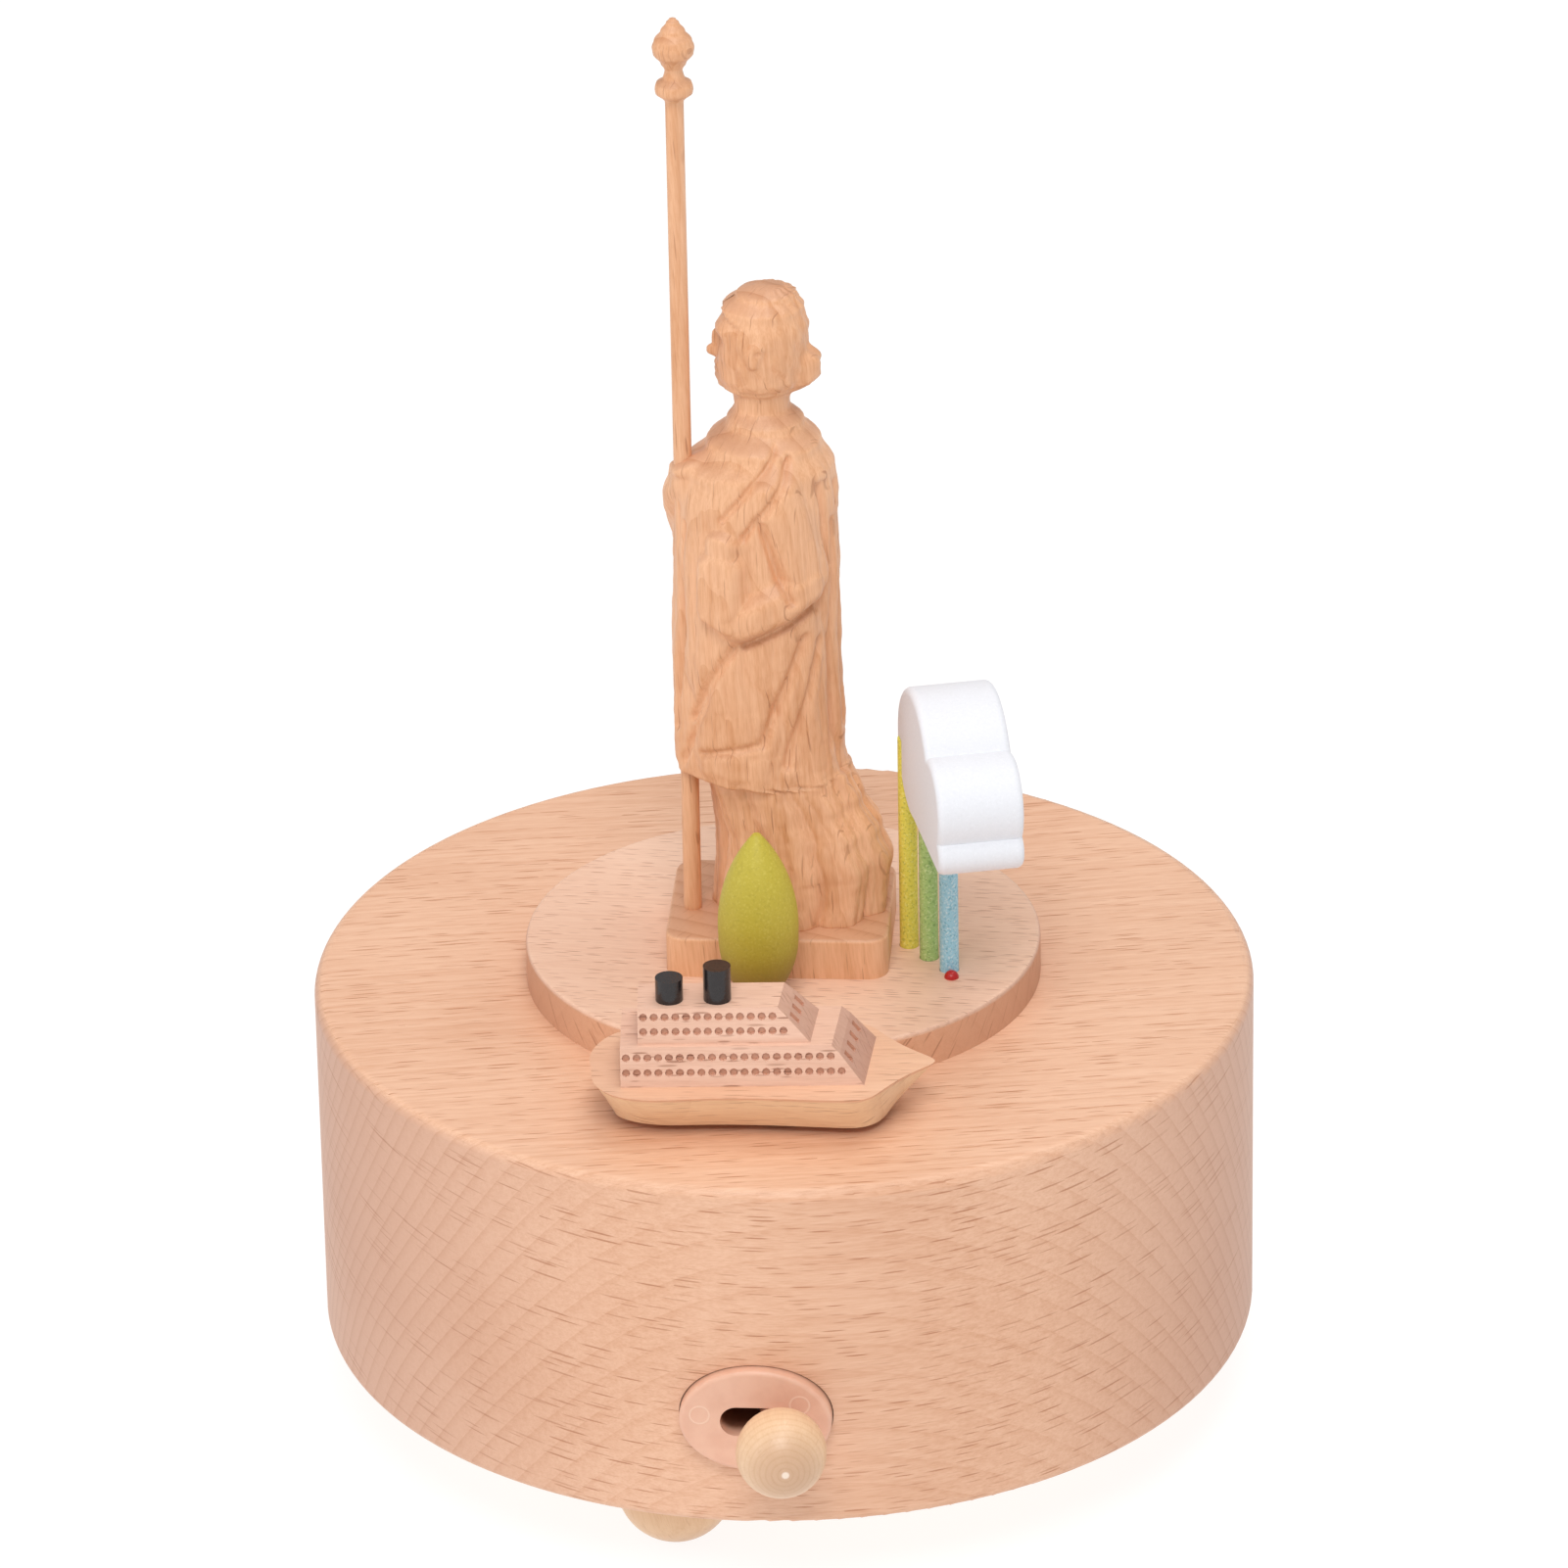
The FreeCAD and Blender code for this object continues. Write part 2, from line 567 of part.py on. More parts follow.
def along_rods(pitches):
    """Expressions for a point so many rod pitches along the row of rods."""
    step = at_radius(f"Sizes.rod_pitch * {pitches}", "Sizes.rod_line")
    return f"{FIRST_ROD[0]} + {step[0]}", f"{FIRST_ROD[1]} + {step[1]}"


ROD_SPOTS = {"yellow_rod": FIRST_ROD, "green_rod": along_rods(1), "blue_rod": along_rods(2)}
disc = body("centre_disc")
place(disc, up=LID_LEVEL)
disc_sketch = sketch_on(disc, "disc_outline")
ring(disc_sketch, "Sizes.disc_dia")
ring(disc_sketch, "Sizes.dowel_dia + 2 * Sizes.bond_gap", "0", "Sizes.plinth_centre_back")
ring(disc_sketch, "Sizes.small_pin_dia + 2 * Sizes.bond_gap", *TREE_SPOT)
disc_pad = pad(disc, disc_sketch, "Sizes.disc_thick", "disc_blank")
disc_edge = round_edges(disc, disc_pad, "disc_rim", "Sizes.disc_edge",
                        outer_edge_at("Sizes.disc_thick", "Sizes.disc_dia / 2"))
socket_sketch = sketch_on(disc, "rod_sockets", level="Sizes.disc_thick")
for spot in ROD_SPOTS.values():
    ring(socket_sketch, "Sizes.rod_dia + 2 * Sizes.bond_gap", *spot)
disc.Tip = pocket(disc, socket_sketch, "Sizes.rod_seat", "rod_socket_cuts")

keep("figure_dowel", cylinder("dowel", "Sizes.dowel_dia",
                              "Sizes.disc_thick + Sizes.plinth_thick + Sizes.dowel_in_figure",
                              "0", "Sizes.plinth_centre_back", LID_LEVEL))


# The carved figure: plinth and robed figure cut from one block of beech. The figure faces -X
# with a small jar in one arm and a staff in the other hand. It is a stack of outlines, and
# each one is an oval that folds, arms, jar and features push in or out.
# Each line: height above the plinth, front and back along X, half width along Y.
FIGURE_LEVELS = [
    (0.0, -7.4, 12.2, 7.7), (3.0, -7.2, 12.4, 7.5), (6.4, -7.0, 12.9, 7.3),
    (10.0, -7.1, 11.6, 7.2), (14.0, -7.5, 9.6, 7.2), (17.4, -8.2, 8.4, 7.3),
    (18.4, -11.6, 7.7, 8.1), (20.0, -12.0, 7.5, 8.3), (30.0, -11.9, 7.4, 8.5),
    (44.0, -11.5, 7.4, 8.5), (52.0, -11.3, 7.3, 8.3), (56.0, -10.4, 6.9, 8.0),
    (59.0, -7.6, 5.6, 6.8), (61.5, -5.2, 3.6, 4.6), (63.4, -4.2, 2.0, 3.1),
    (65.0, -4.3, 2.0, 3.1), (65.8, -5.6, 2.8, 3.7), (67.4, -6.2, 3.6, 4.4),
    (70.0, -6.3, 3.9, 4.8), (73.0, -6.2, 4.1, 4.8), (75.4, -5.2, 3.6, 4.2),
    (77.2, -3.4, 2.6, 2.8), (78.0, -1.2, 1.2, 1.2)]
# Each line: direction and height of both ends in degrees and millimetres, width, height.
FIGURE_SWELLS = [
    (-72, 55, -48, 44, 2.7, 1.3), (-48, 44, -104, 39, 2.3, 1.5), (-112, 42, -112, 48, 2.3, 1.7),
    (115, 55, 150, 46, 2.7, 1.3), (150, 46, 194, 55, 2.3, 1.4), (0, 67, 0, 68.4, 1.9, 1.6),
    (180, 69.0, 180, 70.6, 0.8, 1.3), (180, 65.6, 180, 66.0, 1.0, 0.5)]
FIGURE_STEPS = 60
FIGURE_STEP_HEIGHT = 1.8


def figure_level(height):
    """Front, back and half width of the figure at a height, eased between the listed ones."""
    for low, high in zip(FIGURE_LEVELS, FIGURE_LEVELS[1:]):
        if height <= high[0]:
            break
    share = (height - low[0]) / (high[0] - low[0])
    eased = share * share * (3 - 2 * share)
    return [start + (end - start) * eased for start, end in zip(low[1:], high[1:])]


def figure_swell(direction, height, reach):
    """How far arms, jar, bun and nose stand out at a direction and height."""
    total = 0.0
    for from_turn, from_height, to_turn, to_height, width, stand in FIGURE_SWELLS:
        start = Vector(reach * math.radians(from_turn), from_height, 0)
        run = Vector(reach * math.radians(to_turn), to_height, 0) - start
        turn = (direction - math.radians(from_turn) + math.pi) % (2 * math.pi) - math.pi
        here = Vector(reach * turn, height - from_height, 0)
        share = min(1.0, max(0.0, here.dot(run) / run.dot(run))) if run.Length else 0.0
        away = (here - run * share).Length / width
        total = max(total, stand * math.exp(-away ** 4))
    return total


def figure_fold(direction, height):
    """Depth of the folds: upright ones in the skirt, slanting ones in the mantle."""
    folds = int(size("Sizes.robe_folds"))
    depth = size("Sizes.robe_fold_depth")
    if height < 18:
        wave = math.cos(folds * direction + 1.2 * math.sin(direction) + 0.3)
        return depth * wave * (1.1 - height / 30)
    if height < 58:
        slant = 7 * direction + 0.14 * height + 1.4 * math.sin(2 * direction)
        return depth * 0.55 * math.cos(slant) * (58 - height) / 40
    return 0.0


def figure_body():
    """The robed figure above its plinth as one closed solid of small flat faces."""
    tall = FIGURE_LEVELS[-1][0]
    heights = []
    for low, high in zip(FIGURE_LEVELS, FIGURE_LEVELS[1:]):
        parts = max(1, round((high[0] - low[0]) / FIGURE_STEP_HEIGHT))
        heights.extend(low[0] + (high[0] - low[0]) * part / parts for part in range(parts))
    heights.append(tall)
    stretch_x = size("Sizes.figure_length / 20")
    stretch_y = size("Sizes.figure_depth / 17")
    stretch_z = size("Sizes.figure_height") / tall
    foot = size(f"{DISC_TOP} + Sizes.plinth_thick") - 0.05
    middle = size("Sizes.plinth_centre_back")
    points = []
    for height in heights:
        front, back, half = figure_level(height)
        for step in range(FIGURE_STEPS):
            turn = 2 * math.pi * step / FIGURE_STEPS
            across = (back - front) / 2 * math.cos(turn)
            deep = half * math.sin(turn)
            reach = math.hypot(across, deep)
            out = 1 + (figure_fold(turn, height) + figure_swell(turn, height, reach)) / reach
            points.append(Vector(((front + back) / 2 + across * out) * stretch_x,
                                 middle + deep * out * stretch_y, foot + height * stretch_z))
    rows = len(heights)
    base = Vector((FIGURE_LEVELS[0][1] + FIGURE_LEVELS[0][2]) / 2 * stretch_x, middle, foot)
    crown = Vector(0, middle, foot + tall * stretch_z)
    points.extend([base, crown])
    facets = []
    for step in range(FIGURE_STEPS):
        after = (step + 1) % FIGURE_STEPS
        for row in range(rows - 1):
            low = row * FIGURE_STEPS
            high = low + FIGURE_STEPS
            facets.append((low + step, low + after, high + after))
            facets.append((low + step, high + after, high + step))
        top = (rows - 1) * FIGURE_STEPS
        facets.append((step, len(points) - 2, after))
        facets.append((top + step, top + after, len(points) - 1))
    shape = Part.Shape()
    shape.makeShapeFromMesh((points, facets), 0.001, False)
    return Part.Solid(shape.Shells[0] if shape.Shells else Part.Shell(shape.Faces))


def carved_figure():
    plinth_top = size(f"{DISC_TOP} + Sizes.plinth_thick")
    middle = size("Sizes.plinth_centre_back")
    length = size("Sizes.plinth_length")
    depth = size("Sizes.plinth_depth")
    plinth = Part.makeBox(length, depth, size("Sizes.plinth_thick"),
                          Vector(-length / 2, middle - depth / 2, size(DISC_TOP)))
    uprights = [edge for edge in plinth.Edges if edge.BoundBox.ZLength > 1]
    plinth = plinth.makeFillet(size("Sizes.plinth_corner"), uprights)
    gap = size("Sizes.bond_gap")
    staff_hole = Part.makeCylinder(size("Sizes.staff_dia / 2") + gap,
                                   size("Sizes.figure_height"),
                                   Vector(size("Sizes.staff_forward"), size("Sizes.staff_side"),
                                          plinth_top - 1.5))
    dowel_hole = Part.makeCylinder(size("Sizes.dowel_dia / 2") + gap,
                                   size("Sizes.plinth_thick + Sizes.dowel_in_figure") + gap,
                                   Vector(0, middle, size(DISC_TOP)))
    return plinth.fuse(figure_body()).cut([staff_hole, dowel_hole])


solid("carved_figure", carved_figure())


# The staff: a turned dowel with a small turned finial, set into the plinth and the hand.
def staff():
    radius = size("Sizes.staff_dia / 2")
    length = size("Sizes.staff_length")
    foot = size(f"{DISC_TOP} + Sizes.plinth_thick") - 1.4
    profile = [(0, 0), (radius, 0), (radius, length - 10), (radius * 2.1, length - 9.2),
               (radius * 2.1, length - 8.0), (radius * 1.1, length - 7.2),
               (radius * 1.0, length - 6.2), (radius * 2.3, length - 4.4),
               (radius * 2.3, length - 2.9), (radius * 0.9, length - 0.6), (0, length)]
    points = [Vector(size("Sizes.staff_forward") + across, size("Sizes.staff_side"), foot + up)
              for across, up in profile]
    wire = Part.makePolygon(points + points[:1])
    return Part.Face(wire).revolve(points[0], Vector(0, 0, 1), 360)


solid("figure_staff", staff())


# The tree: an egg turned in limewood and painted green, on a thin pin.
def tree():
    radius = size("Sizes.tree_dia / 2")
    tall = size("Sizes.tree_height")
    foot = Vector(size("Sizes.tree_along"), size("Sizes.tree_back"),
                  size(f"{DISC_TOP} + Sizes.tree_lift"))
    shares = [(0.36, 0.0), (0.76, 0.13), (1.0, 0.38), (0.80, 0.72), (0.10, 1.0)]
    points = [foot + Vector(radius * across, 0, tall * up) for across, up in shares]
    crown = foot + Vector(0, 0, tall)
    edges = [Part.Arc(*points[:3]).toShape(), Part.Arc(*points[2:]).toShape(),
             Part.makeLine(points[-1], crown), Part.makeLine(crown, foot),
             Part.makeLine(foot, points[0])]
    egg = Part.Face(Part.Wire(edges)).revolve(foot, Vector(0, 0, 1), 360)
    seat = Part.makeCylinder(size("Sizes.small_pin_dia / 2 + Sizes.bond_gap"),
                             size("Sizes.small_pin_length"),
                             foot - Vector(0, 0, size("Sizes.rod_seat + Sizes.tree_lift")))
    return egg.cut(seat)


solid("tree", tree())
keep("tree_pin", cylinder("tree_dowel", "Sizes.small_pin_dia",
                          "Sizes.small_pin_length - Sizes.bond_gap", *TREE_SPOT,
                          f"{DISC_TOP} - Sizes.rod_seat"))

# The rods: painted birch dowels that stand in the disc and carry the cloud.
ROD_TOPS = {"yellow_rod": "7.2", "green_rod": "4.6", "blue_rod": "3.2"}
for name, (along, back) in ROD_SPOTS.items():
    keep(name, cylinder(name + "_dowel", "Sizes.rod_dia",
                        f"Sizes.rod_seat - Sizes.disc_thick + Sizes.cloud_clear + {ROD_TOPS[name]}",
                        along, back, f"{DISC_TOP} - Sizes.rod_seat"))
bead = doc.addObject("Part::Sphere", "bead_ball")
drive(bead, Radius="Sizes.bead_dia / 2", Angle1="0", Angle2="90")
place(bead, f"{ROD_SPOTS['blue_rod'][0]} + 0.35", f"{ROD_SPOTS['blue_rod'][1]} - 2", DISC_TOP)
keep("red_bead", bead)


# The cloud: a slab of limewood sawn to a cloud outline, sanded round and painted white.
def cloud():
    length = size("Sizes.cloud_length")
    tall = size("Sizes.cloud_height")

    def spot(share_along, share_up):
        return Vector(0, -length * share_along, tall * share_up)
    # the outline runs from lobe to lobe, each an arc through its crown
    arcs = [((0.92, 0.0), (0.985, 0.12), (0.95, 0.25)),
            ((0.95, 0.25), (0.94, 0.62), (0.68, 0.74)),
            ((0.68, 0.74), (0.36, 1.0), (0.02, 0.70)),
            ((0.02, 0.70), (0.02, 0.26), (0.36, 0.0))]
    edges = [Part.Arc(*[spot(*point) for point in arc]).toShape() for arc in arcs]
    edges.append(Part.makeLine(spot(0.36, 0.0), spot(0.92, 0.0)))
    slab = Part.Face(Part.Wire(edges)).extrude(Vector(size("Sizes.cloud_thick"), 0, 0))
    rims = [edge for edge in slab.Edges if edge.BoundBox.XLength < 0.01]
    slab = slab.makeFillet(size("Sizes.cloud_round"), rims)
    turn = Rotation(Vector(0, 0, 1), size("Sizes.cloud_turn"))
    corner = turn.multVec(Vector(size("Sizes.cloud_side"), size("Sizes.cloud_overlap"), 0))
    slab.Placement = Placement(
        Vector(size(FIRST_ROD[0]), size(FIRST_ROD[1]),
               size(f"{LID_LEVEL} + Sizes.cloud_clear")) + corner, turn)
    gap = size("Sizes.bond_gap")
    for name, (along, back) in ROD_SPOTS.items():
        top = size(f"{LID_LEVEL} + Sizes.cloud_clear + {ROD_TOPS[name]}") + gap
        foot = size(DISC_TOP)
        slab = slab.cut(Part.makeCylinder(size("Sizes.rod_dia / 2") + gap, top - foot,
                                          Vector(size(along), size(back), foot)))
    return slab


solid("cloud", cloud())

# The switch plate: an oval plug of pink plastic with a slot. Two ears behind it hold the pivot.
plug = oval("plug", "Sizes.plate_length", "Sizes.plate_height", PLATE_DEPTH, PLATE_FRONT)
doc.recompute()
front_edges = [number for number, edge in enumerate(plug.Shape.Edges, start=1)
               if abs(edge.BoundBox.YMax - size(PLATE_FRONT)) < 0.01]
eased_plug = doc.addObject("Part::Fillet", "eased_plug")
eased_plug.Base = plug
eased_plug.Edges = [(number, size("Sizes.plate_round"), size("Sizes.plate_round"))
                    for number in front_edges]
PLATE_REAR = f"{PLATE_FRONT} + {PLATE_DEPTH}"
ears = []
for side, level in (("lower", "Sizes.switch_level - Sizes.slot_height / 2 - Sizes.ear_thick"),
                    ("upper", f"Sizes.switch_level + Sizes.slot_height / 2")):
    ears.append(block(f"{side}_ear", "Sizes.ear_width", "Sizes.ear_reach + 1", "Sizes.ear_thick",
                      "-Sizes.ear_width / 2", f"{PLATE_REAR} - 1", level))
SLOT_FLAT = "(Sizes.slot_length - Sizes.slot_height)"
slot_parts = [block("slot_bar", SLOT_FLAT, f"{WALL_THICK} * 2", "Sizes.slot_height",
                    f"-{SLOT_FLAT} / 2", f"{PLATE_FRONT} - 1",
                    "Sizes.switch_level - Sizes.slot_height / 2")]
for side, sign in (("left", "-"), ("right", "")):
    end = cylinder(f"slot_{side}_end", "Sizes.slot_height", f"{WALL_THICK} * 2")
    end.Placement = Placement(Vector(0, 0, 0), Rotation(Vector(1, 0, 0), -90))
    place(end, f"{sign}{SLOT_FLAT} / 2", f"{PLATE_FRONT} - 1", "Sizes.switch_level")
    slot_parts.append(end)
pin_hole = cylinder("pivot_hole", "Sizes.pivot_dia + 2 * Sizes.bond_gap", "20",
                    "0", f"-{PIVOT_REACH}", "Sizes.switch_level - 10")
keep("switch_plate", cut("switch_plug", joined("plug_with_ears", eased_plug, *ears),
                         *slot_parts, pin_hole))
EAR_SPAN = "Sizes.slot_height + 2 * Sizes.ear_thick"
keep("pivot_pin", cylinder("pivot", "Sizes.pivot_dia", EAR_SPAN, "0", f"-{PIVOT_REACH}",
                           f"Sizes.switch_level - ({EAR_SPAN}) / 2"))

# The switch lever: a plastic hub on the pivot with a round tongue, a peg in the knob and a
# tail that holds the stop wire.
LEVER_FOOT = "Sizes.switch_level - Sizes.lever_thick / 2"
LEVER_TIP = f"({DRUM_RADIUS} + Sizes.plate_proud + 0.8 - {PIVOT_REACH})"
KNOB_REACH = f"({LEVER_TIP} + Sizes.knob_beyond)"
lever = body("switch_lever")
place(lever, "0", f"-{PIVOT_REACH}", LEVER_FOOT)
turn_to(lever, LEVER_REST)
hub_sketch = sketch_on(lever, "lever_hub")
ring(hub_sketch, "Sizes.lever_hub_dia")
pad(lever, hub_sketch, "Sizes.lever_thick", "lever_hub_pad")
tongue_sketch = sketch_on(lever, "lever_tongue", "XZ_Plane")
ring(tongue_sketch, "Sizes.tongue_dia", "0", "Sizes.lever_thick / 2")
pad(lever, tongue_sketch, LEVER_TIP, "lever_tongue_pad")
WIRE_REACH = "sqrt(Sizes.wire_along ^ 2 + Sizes.wire_back ^ 2)"
WIRE_ANGLE = f"atan(Sizes.wire_back / Sizes.wire_along) / 1 deg - {LEVER_REST}"
wire_x, wire_y = at_radius(WIRE_REACH, WIRE_ANGLE)
tail_sketch = sketch_on(lever, "lever_tail")
outline(tail_sketch, [("Sizes.lever_hub_dia * 0.4", "0"),
                      (f"{wire_x} + 1.2", f"{wire_y} - 0.6"),
                      (f"{wire_x} + 0.6", f"{wire_y} + 1.2"),
                      (f"{wire_x} - 1.0", f"{wire_y} + 1.0"),
                      ("-Sizes.lever_hub_dia * 0.3", "Sizes.lever_hub_dia * 0.3")])
pad(lever, tail_sketch, "Sizes.lever_thick * 0.6", "lever_tail_pad")
bore_sketch = sketch_on(lever, "lever_bore")
ring(bore_sketch, "Sizes.pivot_dia + 2 * Sizes.shaft_gap")
ring(bore_sketch, "Sizes.wire_dia + 2 * Sizes.bond_gap", wire_x, wire_y)
pocket(lever, bore_sketch, "Sizes.lever_thick", "lever_bores", flip=True)
peg_sketch = sketch_on(lever, "lever_peg", "XZ_Plane", LEVER_TIP)
ring(peg_sketch, "Sizes.lever_peg_dia", "0", "Sizes.lever_thick / 2")
PEG_LENGTH = "Sizes.knob_beyond + 1"
lever.Tip = pad(lever, peg_sketch, PEG_LENGTH, "lever_peg_pad")

WIRE_ALONG = "Sizes.wire_along"
WIRE_BACK = f"Sizes.wire_back - {PIVOT_REACH}"
keep("stop_wire", cylinder("brake_wire", "Sizes.wire_dia", "12.5", WIRE_ALONG, WIRE_BACK,
                           LEVER_FOOT))

knob_x, knob_forward = at_radius(KNOB_REACH, f"{LEVER_REST} - 90")
knob_y = f"{knob_forward} - {PIVOT_REACH}"
knob_ball = doc.addObject("Part::Sphere", "knob_ball")
drive(knob_ball, Radius="Sizes.knob_dia / 2")
place(knob_ball, knob_x, knob_y, "Sizes.switch_level")
knob_bore = cylinder("knob_bore", "Sizes.lever_peg_dia + 2 * Sizes.bond_gap",
                     f"{KNOB_REACH} + 1 + Sizes.bond_gap")
knob_bore.Placement = Placement(Vector(0, 0, 0), Rotation(size(LEVER_REST), 0, 90))
place(knob_bore, "0", f"-{PIVOT_REACH}", "Sizes.switch_level")
keep("knob", cut("drilled_knob", knob_ball, knob_bore))

# The movement's bedplate: a rounded steel plate screwed to the floor board. It carries the
# lower bearing of the spindle.


def turned_body(name, up):
    """A body that is turned with the movement about the spindle."""
    part = body(name)
    place(part, up=up)
    turn_to(part, MOVEMENT_TURN)
    return part


bed = turned_body("bedplate", BOARD_TOP)
bed_sketch = sketch_on(bed, "bed_outline")
outline(bed_sketch, [("-Sizes.bed_left", "-Sizes.bed_front"),
                     ("Sizes.bed_right", "-Sizes.bed_front"),
                     ("Sizes.bed_right", "Sizes.bed_back"),
                     ("-Sizes.bed_left", "Sizes.bed_back")])
bed_pad = pad(bed, bed_sketch, "Sizes.plate_metal", "bed_blank")
bed_round = round_edges(bed, bed_pad, "bed_corners", "Sizes.bed_corner",
                        lambda edge: edge.BoundBox.ZLength > 1)
bed_bores = sketch_on(bed, "bed_bores")
ring(bed_bores, "Sizes.spindle_dia + 2 * Sizes.shaft_gap")
bed.Tip = pocket(bed, bed_bores, "Sizes.plate_metal", "bed_bearing", flip=True)
doc.recompute()
sinks = []
for number, (along, back) in enumerate(BED_SCREWS, start=1):
    sinks.append(cylinder(f"bed_hole_{number}", "Sizes.bed_screw_dia",
                          "Sizes.plate_metal", along, back, BOARD_TOP))
    sinks.append(cone(f"bed_sink_{number}", "Sizes.bed_screw_dia",
                      "Sizes.bed_screw_dia * Sizes.screw_head_ratio",
                      "Sizes.bed_screw_dia * 0.45", along, back,
                      f"{BED_TOP} - Sizes.bed_screw_dia * 0.45"))
bed_sinks = joined("bed_sinks", *sinks)
turn_to(bed_sinks, MOVEMENT_TURN)
bed.Label = "bedplate_blank"
keep("bedplate", cut("drilled_bedplate", bed, bed_sinks))
bed_screws = screw_set("bedplate_screws", "Sizes.bed_screw_dia - 0.1",
                       "Sizes.bed_screw_length", BED_SCREWS, BED_TOP, False)
turn_to(bed_screws, MOVEMENT_TURN)

# The spring housing: a drawn steel cup upside down over the crown wheel and the mainspring,
# with a window where the cylinder's pinion reaches in and a stud for the spring's end.
HOUSING_RADIUS = "Sizes.housing_dia / 2"
HOUSING_INSIDE = "Sizes.housing_dia / 2 - Sizes.housing_wall"
HOUSING_HEIGHT = f"Sizes.housing_top - ({BED_TOP})"
SPINDLE_BORE = "Sizes.spindle_dia / 2 + Sizes.shaft_gap"
STUD_RADIUS = "Sizes.spring_outer + Sizes.spring_thick + Sizes.stud_dia / 2 + 0.06"
housing = turned_body("spring_housing", BED_TOP)
turned(housing, "housing_cup", [
    (HOUSING_INSIDE, "0"),
    (HOUSING_RADIUS, "0"),
    (HOUSING_RADIUS, HOUSING_HEIGHT),
    (SPINDLE_BORE, HOUSING_HEIGHT),
    (SPINDLE_BORE, f"{HOUSING_HEIGHT} - Sizes.housing_wall"),
    (HOUSING_INSIDE, f"{HOUSING_HEIGHT} - Sizes.housing_wall"),
])
window_sketch = sketch_on(housing, "housing_window")
outline(window_sketch, [("8.5", "-6"), ("20", "-6"), ("20", "6"), ("8.5", "6")])
pocket(housing, window_sketch, f"{HOUSING_HEIGHT} - Sizes.housing_wall", "window_cut", flip=True)
stud_sketch = sketch_on(housing, "spring_stud", level=f"{HOUSING_HEIGHT} - Sizes.housing_wall / 2")
ring(stud_sketch, "Sizes.stud_dia", f"-({STUD_RADIUS})", "0")
stud = pad(housing, stud_sketch, "Sizes.spring_width + Sizes.housing_wall / 2", "stud_pad")
stud.Reversed = True
housing.Tip = stud


# The mainspring: a steel strip wound in a flat spiral from the spindle to the stud.
def mainspring():
    turns = int(size("Sizes.spring_turns"))
    steps = 18 * turns
    thick = size("Sizes.spring_thick")
    inner = size(SPINDLE_BORE)
    outer = size("Sizes.spring_outer")
    level = size("Sizes.housing_top - Sizes.housing_wall - Sizes.spring_width - 0.2")

    def spiral(offset):
        points = []
        for step in range(steps + 1):
            share = step / steps
            radius = inner + (outer - inner) * share + offset
            angle = math.pi + 2 * math.pi * turns * share
            points.append(Vector(radius * math.cos(angle), radius * math.sin(angle), level))
        return points
    inside = spiral(0.0)
    outside = spiral(thick)
    wire = Part.makePolygon(inside + outside[::-1] + inside[:1])
    return Part.Face(wire).extrude(Vector(0, 0, size("Sizes.spring_width")))


solid("mainspring", mainspring(), size(MOVEMENT_TURN))


def gear_shape(teeth, module, face, bore, phase=0.0):
    """A spur gear on the X axis from X = 0, one tooth at the phase angle from +Z."""
    pitch_radius = teeth * module / 2
    play = 0.3 * module
    # radius and half thickness of a tooth at its root, pitch line and tip
    levels = [(pitch_radius - 1.2 * module, 0.5 * math.pi * module / 2 + 0.36 * module),
              (pitch_radius, 0.5 * math.pi * module / 2 - play / 2),
              (pitch_radius + 0.9 * module, 0.5 * math.pi * module / 2 - 0.5 * module)]
    points = []
    for tooth in range(teeth):
        middle = math.radians(phase) + 2 * math.pi * tooth / teeth
        for side, order in ((-1, levels), (1, levels[::-1])):
            for radius, half in order:
                angle = middle + side * half / radius
                points.append(Vector(0, radius * math.sin(angle), radius * math.cos(angle)))
    shape = Part.Face(Part.makePolygon(points + points[:1])).extrude(Vector(face, 0, 0))
    return shape.cut(Part.makeCylinder(bore, face, Vector(0, 0, 0), Vector(1, 0, 0)))


# The spindle: arbor, key, crown wheel and magnet arm turn as one.
KEY_TOP = "Sizes.foot_clear - Sizes.key_gap"
KEY_SPAN = "Sizes.key_span / 2"
ARBOR_FOOT = "Sizes.key_lift + 2.6"
WING_DIA = f"({KEY_TOP} - Sizes.key_lift)"
keep("spindle_arbor", cylinder("spindle", "Sizes.spindle_dia",
                               f"{ROOF_LEVEL} - Sizes.spindle_end_gap - ({ARBOR_FOOT})",
                               "0", "0", ARBOR_FOOT))
key = body("winding_key")
key_hub = sketch_on(key, "key_hub", level="Sizes.key_lift")
ring(key_hub, "Sizes.key_hub_dia")
pad(key, key_hub, f"{BOARD_TOP} - 0.3 - Sizes.key_lift", "key_hub_pad")
web_sketch = sketch_on(key, "key_web", "XZ_Plane", "-Sizes.key_thick / 2")
WEB_HALF = f"{KEY_SPAN} - {WING_DIA} / 2"
outline(web_sketch, [(f"-({WEB_HALF})", f"Sizes.key_lift + {WING_DIA} * 0.2"),
                     (WEB_HALF, f"Sizes.key_lift + {WING_DIA} * 0.2"),
                     (WEB_HALF, f"Sizes.key_lift + {WING_DIA} * 0.8"),
                     (f"-({WEB_HALF})", f"Sizes.key_lift + {WING_DIA} * 0.8")])
pad(key, web_sketch, "Sizes.key_thick", "key_web_pad")
for side, sign in (("left", "-"), ("right", "")):
    wing_sketch = sketch_on(key, f"{side}_wing", "XZ_Plane", "-Sizes.key_thick / 2")
    ring(wing_sketch, WING_DIA, f"{sign}({WEB_HALF})", f"Sizes.key_lift + {WING_DIA} / 2")
    pad(key, wing_sketch, "Sizes.key_thick", f"{side}_wing_pad")
key_bore = sketch_on(key, "key_bore", level=ARBOR_FOOT)
ring(key_bore, "Sizes.spindle_dia + 2 * Sizes.bond_gap")
